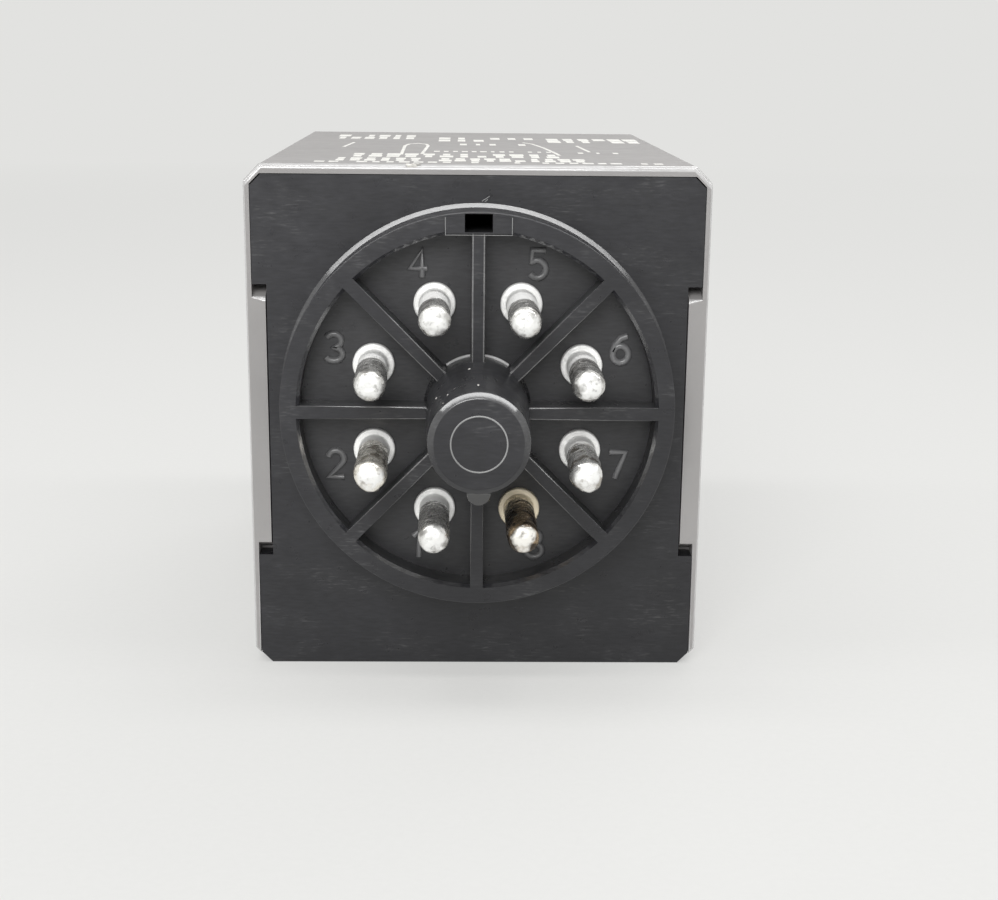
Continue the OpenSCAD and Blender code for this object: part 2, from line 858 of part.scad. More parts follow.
module bobbin() {
    color("ivory") plug() translate([0, 0, z_core]) difference() {
        union() {
            post_y(core_d + 2 * bobbin_wall, y_yoke, y_bobbin_top);
            post_y(flange_d, y_bobbin_top - flange_t, y_bobbin_top);
            post_y(flange_d, y_yoke, y_yoke + flange_t);
            box(-relay_x, relay_x, y_yoke, y_yoke + flange_t, -foot_w / 2, foot_w / 2);
        }
        post_y(core_d + slip_gap, y_yoke - over, y_bobbin_top + over);
        both_sides() translate([terminal_x, 0, 0])
            post_y(terminal_d + slip_gap, y_yoke - over, y_yoke + flange_t + over);
    }
}

module coil() {
    color("peru") plug() translate([0, 0, z_core]) difference() {
        post_y(coil_d, y_yoke + flange_t, y_bobbin_top - flange_t);
        post_y(core_d + 2 * bobbin_wall + slip_gap, y_yoke, y_bobbin_top);
    }
}

module coil_terminal(side) {
    color("silver") plug() translate([side * terminal_x, 0, z_core])
        post_y(terminal_d, y_board_top, y_yoke + flange_t + terminal_rise);
}

// Swings a piece from its closed place, measured from the hinge line, to the open rest position
module swing() {
    translate([0, y_hinge, z_hinge]) rotate([-armature_open, 0, 0]) children();
}

module armature() {
    half = yoke_w / 2;
    color("lightsteelblue") plug() swing() difference() {
        union() {
            box(-half, half, 0, armature_t, 0, armature_len);
            box(-tail_w / 2, tail_w / 2, 0, armature_t, -tail_len, over);
        }
        translate([0, 0, -spring_back]) post_y(spring_hole_d, -over, armature_t + over);
    }
}

module insulator() {
    half = yoke_w / 2 + insulator_past;
    color("ivory") plug() swing() box(-half, half, armature_t, armature_t + insulator_t,
        armature_len - insulator_lap, armature_len - insulator_lap + insulator_len);
}

module blade(side) {
    color("goldenrod") plug() swing() translate([side * blade_x, 0, 0]) {
        box(-strip_w / 2, strip_w / 2, blade_y, armature_t, blade_start, blade_end);
        translate([0, 0, contact_reach]) post_y(rivet_d, blade_y - rivet_h, armature_t + rivet_h);
    }
}

// Flexible lead from the relay base to the root of a blade, bowed a little towards the coil
module braid(side) {
    reach = braid_z - z_hinge;
    y1 = y_hinge + blade_y * cos(armature_open) + (reach - braid_d) * sin(armature_open) - touch_gap;
    chord = y1 - y_relay;
    r = (chord * chord / 4 + braid_bow * braid_bow) / (2 * braid_bow);
    half = asin(chord / 2 / r);
    color("chocolate") plug() translate([side * blade_x, y_relay, braid_z]) intersection() {
        box(-braid_d, braid_d, 0, chord, -braid_bow - braid_d, braid_d);
        translate([0, chord / 2, r - braid_bow]) rotate([0, 90, 0]) rotate_extrude()
            translate([r, 0]) circle(d = braid_d);
    }
}

// Points of the return spring from the hook over the tail, down the coils, to the hook under the lug
function spring_low() = y_hinge - lug_drop + lug_t + spring_low_rise;
function spring_high() = y_hinge - spring_top_drop;
function spring_path() = concat(
    [
        [spring_hook, spring_high() + spring_top_arm, 0],
        [0, spring_high() + spring_top_arm, 0],
        [0, spring_high() + spring_lead, 0]
    ],
    [for (i = [0 : spring_turns * spring_turn_steps])
        let (a = 360 * i / spring_turn_steps, t = i / (spring_turns * spring_turn_steps))
        [spring_r * cos(a), spring_high() + (spring_low() - spring_high()) * t, spring_r * sin(a)]],
    [
        [0, spring_low() - spring_lead, 0],
        [0, spring_low() - spring_low_arm, 0],
        [spring_hook, spring_low() - spring_low_arm, 0]
    ]
);

function unit(v) = v / norm(v);
function along(path, i) = unit(path[min(i + 1, len(path) - 1)] - path[max(i - 1, 0)]);

// Ring of points round one place on the path, square to it
function tube_ring(path, i, r, sides) =
    let (dir = along(path, i), u = unit(cross(dir, [0.1, 0.2, 1])), v = cross(dir, u))
    [for (k = [0 : sides - 1]) path[i] + r * (cos(360 * k / sides) * u + sin(360 * k / sides) * v)];

module tube(path, d, sides) {
    count = len(path);
    points = [for (i = [0 : count - 1]) each tube_ring(path, i, d / 2, sides)];
    walls = [for (i = [0 : count - 2], k = [0 : sides - 1])
        [i * sides + k, i * sides + (k + 1) % sides, (i + 1) * sides + (k + 1) % sides, (i + 1) * sides + k]];
    start = [for (k = [sides - 1 : -1 : 0]) k];
    end = [for (k = [0 : sides - 1]) (count - 1) * sides + k];
    polyhedron(points, concat([start], walls, [end]));
}

module return_spring() {
    color("silver") plug() translate([0, 0, z_hinge - spring_back])
        tube(spring_path(), spring_wire_d, spring_sides);
}

housing();
base();
for (n = [1 : pin_count]) {
    pin(n);
    lead(n);
}
face_plate();
time_knob();
pot_shaft();
pot_body();
range_selector();
selector_body();
lens(-1, "limegreen");  // power_lens
lens(1, "orange");  // output_lens
led(-1, "limegreen");  // power_led
led(1, "orange");  // output_led
front_board();
timer_ic();
board_header();
power_board();
smoothing_capacitor();
dropping_capacitor();
varistor();
rectifier();
resistor(-1);  // resistor_1
resistor(1);  // resistor_2
relay_base();
yoke();
core();
bobbin();
coil();
coil_terminal(-1);  // coil_terminal_1
coil_terminal(1);  // coil_terminal_2
armature();
insulator();
blade(-1);  // blade_left
blade(1);  // blade_right
no_contact(-1);  // no_contact_left
no_contact(1);  // no_contact_right
nc_contact(-1);  // nc_contact_left
nc_contact(1);  // nc_contact_right
braid(-1);  // braid_left
braid(1);  // braid_right
return_spring();
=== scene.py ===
"""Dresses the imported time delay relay: finishes, solder, print, dial scale, studio and camera.

Lengths are in millimetres and angles in degrees, unless the words beside them say otherwise.
"""

import json
import logging
import math
from dataclasses import dataclass, field, replace
from enum import Enum
from typing import Callable, Optional, Sequence, Union

import bmesh
import bpy
from mathutils import Matrix, Vector, noise
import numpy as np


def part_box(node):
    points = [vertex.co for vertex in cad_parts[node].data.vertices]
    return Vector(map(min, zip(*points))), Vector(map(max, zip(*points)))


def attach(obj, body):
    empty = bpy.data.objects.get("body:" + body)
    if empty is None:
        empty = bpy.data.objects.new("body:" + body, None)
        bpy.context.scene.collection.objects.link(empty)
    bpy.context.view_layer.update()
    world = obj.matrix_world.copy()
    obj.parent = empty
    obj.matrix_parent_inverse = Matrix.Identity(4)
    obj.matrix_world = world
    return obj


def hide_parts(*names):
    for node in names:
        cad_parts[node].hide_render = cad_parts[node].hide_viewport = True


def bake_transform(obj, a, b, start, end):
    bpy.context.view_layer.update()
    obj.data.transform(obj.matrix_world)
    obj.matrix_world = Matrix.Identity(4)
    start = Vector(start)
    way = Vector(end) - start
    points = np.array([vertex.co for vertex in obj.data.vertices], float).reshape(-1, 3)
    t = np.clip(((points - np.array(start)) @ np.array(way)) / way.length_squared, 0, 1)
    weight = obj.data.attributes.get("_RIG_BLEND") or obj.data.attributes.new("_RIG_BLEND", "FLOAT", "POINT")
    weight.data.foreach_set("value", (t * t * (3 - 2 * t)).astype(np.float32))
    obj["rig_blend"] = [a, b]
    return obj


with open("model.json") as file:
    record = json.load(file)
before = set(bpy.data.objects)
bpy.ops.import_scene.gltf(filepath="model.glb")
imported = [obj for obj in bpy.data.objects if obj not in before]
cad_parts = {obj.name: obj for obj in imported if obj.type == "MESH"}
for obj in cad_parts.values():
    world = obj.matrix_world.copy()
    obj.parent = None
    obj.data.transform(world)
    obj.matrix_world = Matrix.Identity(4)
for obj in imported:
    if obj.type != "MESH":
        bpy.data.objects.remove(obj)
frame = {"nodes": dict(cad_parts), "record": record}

log = logging.getLogger("time_relay")

MM = 0.001
PIN_COUNT = 8
FIRST_PIN = 247.5
PIN_STEP = 45.0
# Face layer of the rounded and burnished bevels; they get a paler edge colour, partly wear and partly
# painted highlight.
EDGE_LAYER = "worn_edge"
BURNISHED = 0.25

Colour = tuple[float, float, float]
Place = tuple[float, float, float]
Point = tuple[float, float]
Stroke = Sequence[Point]
Socket = bpy.types.NodeSocket
Level = Union[float, Colour]
Feed = Union[Socket, float, Colour]
Rule = Callable[[bmesh.types.BMEdge], bool]


class Body(Enum):
    """Bodies of the relay that the dressed pieces ride on."""

    CASE = "case"
    DIAL = "dial"
    ARMATURE = "armature"


class Slot(Enum):
    """Material slots of the record."""

    CASE_GREY = "case_grey"
    BASE_BLACK = "base_black"
    PIN_PLATING = "pin_plating"
    TINNED_WIRE = "tinned_wire"
    FACE_BLACK = "face_black"
    KNOB_GREY = "knob_grey"
    SHAFT_PLASTIC = "shaft_plastic"
    SWITCH_BLACK = "switch_black"
    SELECTOR_WHITE = "selector_white"
    LENS_GREEN = "lens_green"
    LENS_AMBER = "lens_amber"
    BOARD_GREEN = "board_green"
    CHIP_BLACK = "chip_black"
    CAN_BLUE = "can_blue"
    CAPACITOR_RED = "capacitor_red"
    VARISTOR_BLUE = "varistor_blue"
    RESISTOR_TAN = "resistor_tan"
    RELAY_BROWN = "relay_brown"
    SOFT_IRON = "soft_iron"
    BOBBIN_IVORY = "bobbin_ivory"
    COPPER = "copper"
    CONTACT_BRONZE = "contact_bronze"
    SPRING_STEEL = "spring_steel"


class Extra(Enum):
    """Finishes of worn, printed and painted details and of painted highlights, which have no slot of their
    own.
    """

    WORN_BLACK = "worn_black"
    PALE_BLACK = "pale_black"
    GLOSSY_BLACK = "glossy_black"
    WHITE_INK = "white_ink"
    DUST = "dust"
    POINTER_PAINT = "pointer_paint"


def shade(red: float, green: Optional[float] = None, blue: Optional[float] = None) -> Colour:
    """Turns a display colour of 0 to 255 into linear light.

    Args:
        red: Red level, or the level of a neutral grey when it stands alone.
        green: Green level.
        blue: Blue level.

    Returns:
        The three linear levels.
    """
    levels = (red, red if green is None else green, red if blue is None else blue)
    knee, slope, offset, power = 0.04045, 12.92, 0.055, 2.4
    parts = [level / 255 for level in levels]
    linear = [p / slope if p <= knee else ((p + offset) / (1 + offset)) ** power for p in parts]
    return linear[0], linear[1], linear[2]


def scaled(colour: Colour, factor: float) -> Colour:
    """A colour made lighter or darker by a factor."""
    return tuple(min(1.0, level * factor) for level in colour)


@dataclass(frozen=True)
class Pattern:
    """A noise: the size of its spots, its finer layers and the levels where it sets in and is full.

    The stretch is a factor along each axis, and the shift is in metres.
    """

    grain: float
    detail: float
    start: float = 0.3
    end: float = 0.7
    stretch: Optional[Place] = None
    shift: Place = (0.0, 0.0, 0.0)


class Tree:
    """Short calls for building a node tree."""

    def __init__(self, tree: bpy.types.NodeTree) -> None:
        """Takes the tree that gets the nodes."""
        self.tree = tree

    def feed(self, socket: Socket, value: object) -> None:
        """Links a socket, or sets it where the value is constant.

        Args:
            socket: Input to feed.
            value: Output socket, number, vector or colour.
        """
        if isinstance(value, bpy.types.NodeSocket):
            self.tree.links.new(value, socket)
        elif socket.type == "RGBA":
            socket.default_value = (*(value if isinstance(value, tuple) else (value,) * 3), 1.0)
        else:
            socket.default_value = value

    def node(self, kind: str, inputs: Optional[dict[Union[str, int], object]] = None,
             **settings: object) -> bpy.types.Node:
        """Adds a node.

        Args:
            kind: Blender's name of the node.
            inputs: Name or number of each input, and the socket or value that feeds it.
            **settings: Properties of the node.

        Returns:
            The node.
        """
        made = self.tree.nodes.new(kind)
        for name, value in settings.items():
            setattr(made, name, value)
        for name, value in (inputs or {}).items():
            self.feed(made.inputs[name], value)
        return made

    def math(self, operation: str, *values: Union[Socket, float]) -> Socket:
        """One step of arithmetic on up to three values, with the operation as Blender names it."""
        return self.node("ShaderNodeMath", dict(enumerate(values)), operation=operation).outputs[0]


class Graph(Tree):
    """A material's node tree, with short calls for the nodes that the finishes share."""

    def __init__(self, name: str) -> None:
        """Starts an empty material with one shader.

        Args:
            name: Name of the material.
        """
        self.material = bpy.data.materials.new(name)
        self.material.use_nodes = True
        super().__init__(self.material.node_tree)
        self.tree.nodes.clear()
        self.shader = self.node("ShaderNodeBsdfPrincipled")
        self.output = self.node("ShaderNodeOutputMaterial", {"Surface": self.shader.outputs["BSDF"]})
        self.place = self.node("ShaderNodeTexCoord").outputs["Object"]

    def surface(self, **values: Feed) -> None:
        """Feeds the shader's inputs.

        Args:
            **values: Socket, number or colour of each input, named in small letters with underscores.
        """
        names = {socket.name.lower().replace(" ", "_"): socket for socket in self.shader.inputs}
        for name, value in values.items():
            self.feed(names[name], value)

    def noise(self, pattern: Pattern) -> Socket:
        """Noise over the piece.

        Args:
            pattern: Pattern of the noise.

        Returns:
            The factor socket.
        """
        place = self.place
        if pattern.stretch is not None:
            moves = {"Vector": place, "Scale": pattern.stretch, "Location": pattern.shift}
            place = self.node("ShaderNodeMapping", moves).outputs["Vector"]
        sizes = {"Vector": place, "Scale": 1 / (pattern.grain * MM), "Detail": pattern.detail}
        return self.node("ShaderNodeTexNoise", sizes).outputs["Fac"]

    def ramp(self, factor: Socket, *stops: tuple[float, Level]) -> Socket:
        """Maps a factor to colours.

        Args:
            factor: Value from 0 to 1.
            *stops: Position and colour or grey level of each stop.

        Returns:
            The colour socket.
        """
        node = self.node("ShaderNodeValToRGB", {"Fac": factor})
        elements = node.color_ramp.elements
        while len(elements) < len(stops):
            elements.new(0.5)
        for element, (position, value) in zip(elements, stops):
            element.position = position
            element.color = (*(value if isinstance(value, tuple) else (value,) * 3), 1.0)
        return node.outputs["Color"]

    def vary(self, pattern: Pattern, low: Level, high: Level) -> Socket:
        """Spreads a noise from one colour or level to another."""
        return self.ramp(self.noise(pattern), (pattern.start, low), (pattern.end, high))

    def blend(self, factor: Socket, low: Feed, high: Feed) -> Socket:
        """Mixes two colours or levels by the share of the second."""
        return self.node("ShaderNodeMix", {0: factor, 6: low, 7: high}, data_type="RGBA").outputs[2]

    def bump(self, height: Socket, depth: float) -> Socket:
        """Relief from a height of 0 to 1, whose full step is a depth in millimetres."""
        sizes = {"Height": height, "Distance": depth * MM, "Strength": 1.0}
        return self.node("ShaderNodeBump", sizes).outputs["Normal"]

    def times(self, colour: Socket, factor: Socket) -> Socket:
        """Brightens or darkens a colour by a factor."""
        parts = {"Vector": colour, "Scale": factor}
        return self.node("ShaderNodeVectorMath", parts, operation="SCALE").outputs["Vector"]

    def attribute(self, name: str) -> Socket:
        """The factor of one of the mesh's own layers."""
        return self.node("ShaderNodeAttribute", attribute_name=name).outputs["Fac"]

    def along(self, axis: str) -> Socket:
        """One of the piece's own coordinates, in metres."""
        return self.node("ShaderNodeSeparateXYZ", {"Vector": self.place}).outputs[axis]

    def radius(self, axes: str) -> Socket:
        """Distance from the middle of the piece along two axes.

        Args:
            axes: Letters of the two axes.

        Returns:
            The length socket, in metres.
        """
        first, second = (self.math("MULTIPLY", length, length) for length in map(self.along, axes))
        return self.math("POWER", self.math("ADD", first, second), 0.5)

    def spread(self, value: Socket, low: float, high: float) -> Socket:
        """Maps a length in metres to 0 at one length in millimetres and 1 at another."""
        ends = {"Value": value, "From Min": low * MM, "From Max": high * MM}
        return self.node("ShaderNodeMapRange", ends).outputs["Result"]


@dataclass(frozen=True)
class Finish:
    """What a surface is made of."""

    def make(self, name: str) -> bpy.types.Material:
        """Builds the material.

        Args:
            name: Name of the material.

        Returns:
            The material.
        """
        g = Graph(name)
        self.paint(g)
        return g.material

    def paint(self, g: Graph) -> None:
        """Builds the look in a graph, each kind of finish in its own way."""
        raise NotImplementedError


@dataclass(frozen=True)
class MouldedPlastic(Finish):
    """Moulded plastic: fine grain, slow colour drift, pale scuffs, and paler edges that are partly rubbed
    wear and partly painted highlight.
    """

    colour: Colour
    rough: float = 0.45
    drift: float = 0.1
    grain: float = 0.18
    relief: float = 0.006
    grain_detail: float = 2.0
    scuff: float = 0.0
    scuff_colour: Colour = (0.35, 0.35, 0.35)
    haze: float = 0.1
    edge: float = 0.0
    polish: float = 0.12
    gloss: float = 0.5
    edge_gloss: float = 1.0
    least_rubbed: float = 0.6
    smoother: float = 0.06
    rougher: float = 0.08
    clouds: Pattern = Pattern(6.0, 2.0)
    mottle: Pattern = Pattern(1.4, 4.0)
    smears: Pattern = Pattern(5.0, 6.0, 0.48, 0.8, (0.8, 1.0, 1.6))
    hairlines: Pattern = Pattern(0.35, 3.0, 0.52, 0.72, (0.35, 1.0, 2.2), (0.01, 0.02, 0.03))
    rubbing: Pattern = Pattern(1.2, 4.0, 0.3, 0.65)

    def paint(self, g: Graph) -> None:
        """Lays scuffs and paler edges, partly rubbed wear and partly painted highlight, over the drifting
        colour.

        Args:
            g: Graph of the material.
        """
        gloss: Feed = self.gloss
        low, high = scaled(self.colour, 1 - self.drift), scaled(self.colour, 1 + self.drift)
        colour = g.vary(self.clouds, low, high)
        rough = g.vary(self.mottle, self.rough - self.smoother, self.rough + self.rougher)
        if self.scuff > 0:
            hair = g.math("MAXIMUM", g.vary(self.hairlines, 0.0, 1.0), self.haze)
            worn = g.math("MULTIPLY", g.vary(self.smears, 0.0, 1.0), hair)
            colour = g.blend(g.math("MULTIPLY", worn, self.scuff), colour, self.scuff_colour)
        if self.edge > 0:
            worn_edge = g.attribute(EDGE_LAYER)
            rub_and_highlight = g.math("MULTIPLY", g.vary(self.rubbing, self.least_rubbed, 1.0), worn_edge)
            burnished = g.math("MINIMUM", g.math("MULTIPLY", worn_edge, 1 / BURNISHED), 1.0)
            rough = g.blend(burnished, rough, self.polish)
            gloss = g.blend(burnished, self.gloss, self.edge_gloss)
            # Paler edge colour: partly rubbed wear, partly a painted highlight along the bevels.
            colour = g.blend(g.math("MULTIPLY", rub_and_highlight, self.edge), colour, self.scuff_colour)
        relief = g.bump(g.noise(Pattern(self.grain, self.grain_detail)), self.relief)
        g.surface(base_color=self.tint(g, colour), roughness=rough, specular_ior_level=gloss, normal=relief)

    def tint(self, g: Graph, colour: Socket) -> Socket:
        """Changes the colour by place; plain plastic keeps it."""
        return colour


@dataclass(frozen=True)
class HandledPlastic(MouldedPlastic):
    """Moulded plastic with painted light and shade: its own painted tone inside the ring, a painted shadow
    on the key and a painted slope of light across it.
    """

    deep: Colour = (0.01, 0.01, 0.01)
    ring_radius: float = 15.0
    fore: float = 0.6
    fade: float = 0.3
    key_from: float = -3.72
    key_fade: float = 0.1
    key_reach: Point = (-0.5, -1.0)
    key_shade: float = 0.3
    streak: float = 0.2
    streaks: Pattern = Pattern(0.26, 3.0, stretch=(0.3, 1.0, 1.5), shift=(0.002, 0.0, 0.004))
    slant: float = 0.28
    slant_reach: float = 24.0
    slant_lean: float = 0.6

    def tint(self, g: Graph, colour: Socket) -> Socket:
        """Paints its own tone inside the ring and a shadow on the key, streaks the rest and paints light
        towards the upper left and shade towards the lower right.

        Args:
            g: Graph of the material.
            colour: Colour of the plastic before its painted light and shade.

        Returns:
            The colour socket.
        """
        across, back, up = (g.along(axis) for axis in "XYZ")
        # Painted tone inside the ring, standing in for how light and shade fall in the recess.
        outer = g.spread(g.radius("XZ"), self.ring_radius, self.ring_radius + self.fade)
        front = g.spread(back, self.fore, self.fore - self.fade)
        placed = g.blend(g.math("MAXIMUM", outer, front), self.deep, colour)
        # Painted shadow on the key under the post.
        low = g.spread(up, self.key_from, self.key_from - self.key_fade)
        key_painted_shadow = g.math("MULTIPLY", low, g.spread(back, *self.key_reach))
        placed = g.blend(key_painted_shadow, placed, scaled(self.deep, self.key_shade))
        lines = g.vary(self.streaks, 1 - self.streak, 1 + self.streak)
        # Painted light slope: lighter up and to the left, darker down and to the right.
        height = g.math("SUBTRACT", up, g.math("MULTIPLY", across, self.slant_lean))
        rise = g.spread(height, -self.slant_reach, self.slant_reach)
        painted_light_slope = g.ramp(rise, (0.0, 1 - self.slant), (1.0, 1 + self.slant))
        return g.times(placed, g.math("MULTIPLY", lines, painted_light_slope))


@dataclass(frozen=True)
class PlainMetal(Finish):
    """Rolled or drawn metal with fine brush lines and dull patches."""

    colour: Colour
    rough: float = 0.3
    smoother: float = 0.08
    rougher: float = 0.12
    dull: Colour = (0.2, 0.18, 0.16)
    dullness: float = 0.25
    patches: Pattern = Pattern(1.6, 5.0, 0.45, 0.75)
    brushing: Pattern = Pattern(0.12, 3.0, 0.25, 0.75, (1.0, 1.0, 6.0))
    line_depth: float = 0.003

    def paint(self, g: Graph) -> None:
        """Brushes the metal and dulls it in patches.

        Args:
            g: Graph of the material.
        """
        colour = g.blend(g.vary(self.patches, 0.0, self.dullness), self.colour, self.dull)
        rough = g.vary(self.brushing, self.rough - self.smoother, self.rough + self.rougher)
        relief = g.bump(g.noise(self.brushing), self.line_depth)
        g.surface(base_color=colour, metallic=1.0, roughness=rough, normal=relief)


@dataclass(frozen=True)
class PinPlating(Finish):
    """Pin with a pale collar and root and a pale solder dome, partly tin and solder and partly painted
    highlight, and a dull mottled band between them.
    """

    bright: Colour = shade(242, 242, 240)
    band: Colour = shade(208, 207, 204)
    stain: Colour = shade(96, 92, 87)
    stain_from: float = 0.54
    stain_blur: float = 0.08
    stain_share: float = 0.6
    collar: Colour = shade(255, 255, 253)
    root: Point = (-1.6, -0.4)
    band_from: float = 0.5
    band_blur: float = 0.5
    band_wander: float = 1.6
    band_to: float = 7.8
    dome_blur: float = 0.3
    dome_wander: float = 1.2
    root_metal: float = 0.15
    band_metal: float = 0.75
    dome_metal: float = 0.5
    pit_share: float = 0.6
    gloss: Point = (0.14, 0.36)
    frosting: float = 0.2
    lump_depth: float = 0.14
    band_edge: Pattern = Pattern(0.9, 3.0)
    dome_edge: Pattern = Pattern(0.9, 2.0)
    blots: Pattern = Pattern(1.3, 2.5, stretch=(1.3, 0.8, 1.3))
    pits: Pattern = Pattern(0.42, 4.0, 0.54, 0.72)
    frost: Pattern = Pattern(0.5, 4.0)
    lumps: Pattern = Pattern(0.9, 2.5)

    @staticmethod
    def reach(g: Graph, edge: Pattern, wander: float) -> Socket:
        """How far out a point lies along the pin, made uneven for a ragged border.

        Args:
            g: Graph of the material.
            edge: Pattern of the border.
            wander: Width of the ragged border, in millimetres.

        Returns:
            The length socket, in metres.
        """
        uneven = g.math("MULTIPLY", g.math("SUBTRACT", g.noise(edge), 0.5), wander * MM)
        return g.math("ADD", g.math("MULTIPLY", g.along("Y"), -1.0), uneven)

    def paint(self, g: Graph) -> None:
        """Paints the collar, root and solder dome pale, partly tin and solder and partly painted highlight,
        stains the band and beads the solder.

        Args:
            g: Graph of the material.
        """
        band_reach = self.reach(g, self.band_edge, self.band_wander)
        dull = g.spread(band_reach, self.band_from, self.band_from + self.band_blur)
        dome_reach = self.reach(g, self.dome_edge, self.dome_wander)
        dome = g.spread(dome_reach, self.band_to, self.band_to + self.dome_blur)
        root = g.spread(g.math("MULTIPLY", g.along("Y"), -1.0), *self.root)
        blots = replace(self.blots, start=self.stain_from, end=self.stain_from + self.stain_blur)
        stained = g.blend(g.vary(blots, 0.0, self.stain_share), self.band, self.stain)
        # Collar colour runs up the shaft to the band: partly tinning, partly a painted highlight on the
        # shaft.
        shaft = g.blend(root, self.collar, g.blend(dull, self.collar, stained))
        solder = g.blend(g.vary(self.pits, 0.0, self.pit_share), self.bright, self.stain)
        frost = g.math("SUBTRACT", 1.0, g.math("SUBTRACT", dull, dome))
        rough = g.math("ADD", g.vary(self.frost, *self.gloss), g.math("MULTIPLY", frost, self.frosting))
        metal = g.blend(dome, g.blend(dull, self.root_metal, self.band_metal), self.dome_metal)
        relief = g.bump(g.noise(self.lumps), self.lump_depth)
        g.surface(base_color=g.blend(dome, shaft, solder), metallic=metal, roughness=rough, normal=relief)


@dataclass(frozen=True)
class Lens(Finish):
    """Tinted clear plastic with a faint moulded ripple."""

    colour: Colour
    depth: float = 0.8
    gloss: Point = (0.12, 0.24)
    refraction: float = 1.49
    clearness: float = 0.55
    ripple_depth: float = 0.01
    clouds: Pattern = Pattern(1.2, 2.0)
    mottle: Pattern = Pattern(0.4, 3.0)
    ripple: Pattern = Pattern(0.5, 2.0)

    def paint(self, g: Graph) -> None:
        """Tints the clear plastic.

        Args:
            g: Graph of the material.
        """
        tint = g.vary(self.clouds, scaled(self.colour, self.depth), self.colour)
        rough = g.vary(self.mottle, *self.gloss)
        relief = g.bump(g.noise(self.ripple), self.ripple_depth)
        g.surface(base_color=tint, roughness=rough, ior=self.refraction, normal=relief,
                  transmission_weight=self.clearness)


@dataclass(frozen=True)
class CircuitBoard(Finish):
    """Lacquered board with square runs of copper track showing through."""

    colour: Colour
    track: Colour
    pitch: float = 5.0
    track_edges: tuple[float, ...] = (0.28, 0.3, 0.4, 0.42)
    track_depth: float = 0.03
    weave: float = 0.8
    gloss: Point = (0.28, 0.4)
    cloth: Pattern = Pattern(0.2, 2.0, stretch=(1.0, 2.5, 2.5))

    def paint(self, g: Graph) -> None:
        """Lays tracks over the woven board.

        Args:
            g: Graph of the material.
        """
        sizes = {"Vector": g.place, "Scale": 1 / (self.pitch * MM)}
        cells = g.node("ShaderNodeTexVoronoi", sizes, feature="F1", distance="CHEBYCHEV")
        track = g.ramp(cells.outputs["Distance"], *zip(self.track_edges, (0.0, 1.0, 1.0, 0.0)))
        board = g.vary(self.cloth, scaled(self.colour, self.weave), self.colour)
        g.surface(base_color=g.blend(track, board, self.track), roughness=g.vary(self.cloth, *self.gloss),
                  normal=g.bump(track, self.track_depth))


@dataclass(frozen=True)
class Winding(Finish):
    """Enamelled wire wound in layers, with painted shade in the grooves between the turns."""

    colour: Colour
    pitch: float = 0.16
    wave_scale: float = 20.0
    unevenness: float = 0.6
    groove: float = 0.35
    groove_edges: Point = (0.1, 0.7)
    groove_depth: float = 0.06
    metal: float = 0.8
    gloss: Point = (0.25, 0.4)
    mottle: Pattern = Pattern(0.8, 3.0)

    def paint(self, g: Graph) -> None:
        """Winds the turns.

        Args:
            g: Graph of the material.
        """
        scale = 2 * math.pi / (self.wave_scale * self.pitch * MM)
        sizes = {"Vector": g.place, "Scale": scale, "Distortion": self.unevenness}
        turns = g.node("ShaderNodeTexWave", sizes, bands_direction="Z").outputs["Fac"]
        # Darker colour in the grooves between turns: painted shade.
        colour = g.ramp(turns, *zip(self.groove_edges, (scaled(self.colour, self.groove), self.colour)))
        g.surface(base_color=colour, metallic=self.metal, roughness=g.vary(self.mottle, *self.gloss),
                  normal=g.bump(turns, self.groove_depth))


@dataclass(frozen=True)
class Ink(Finish):
    """Screen-printed ink: thin patches and a dry surface."""

    colour: Colour
    thin: float = 0.75
    dryness: Point = (0.5, 0.7)
    depth: float = 0.005
    patches: Pattern = Pattern(0.35, 4.0, 0.3, 0.55)
    tooth: Pattern = Pattern(0.15, 3.0)

    def paint(self, g: Graph) -> None:
        """Spreads the ink unevenly.

        Args:
            g: Graph of the material.
        """
        colour = g.vary(self.patches, scaled(self.colour, self.thin), self.colour)
        relief = g.bump(g.noise(self.patches), self.depth)
        g.surface(base_color=colour, roughness=g.vary(self.tooth, *self.dryness), normal=relief)


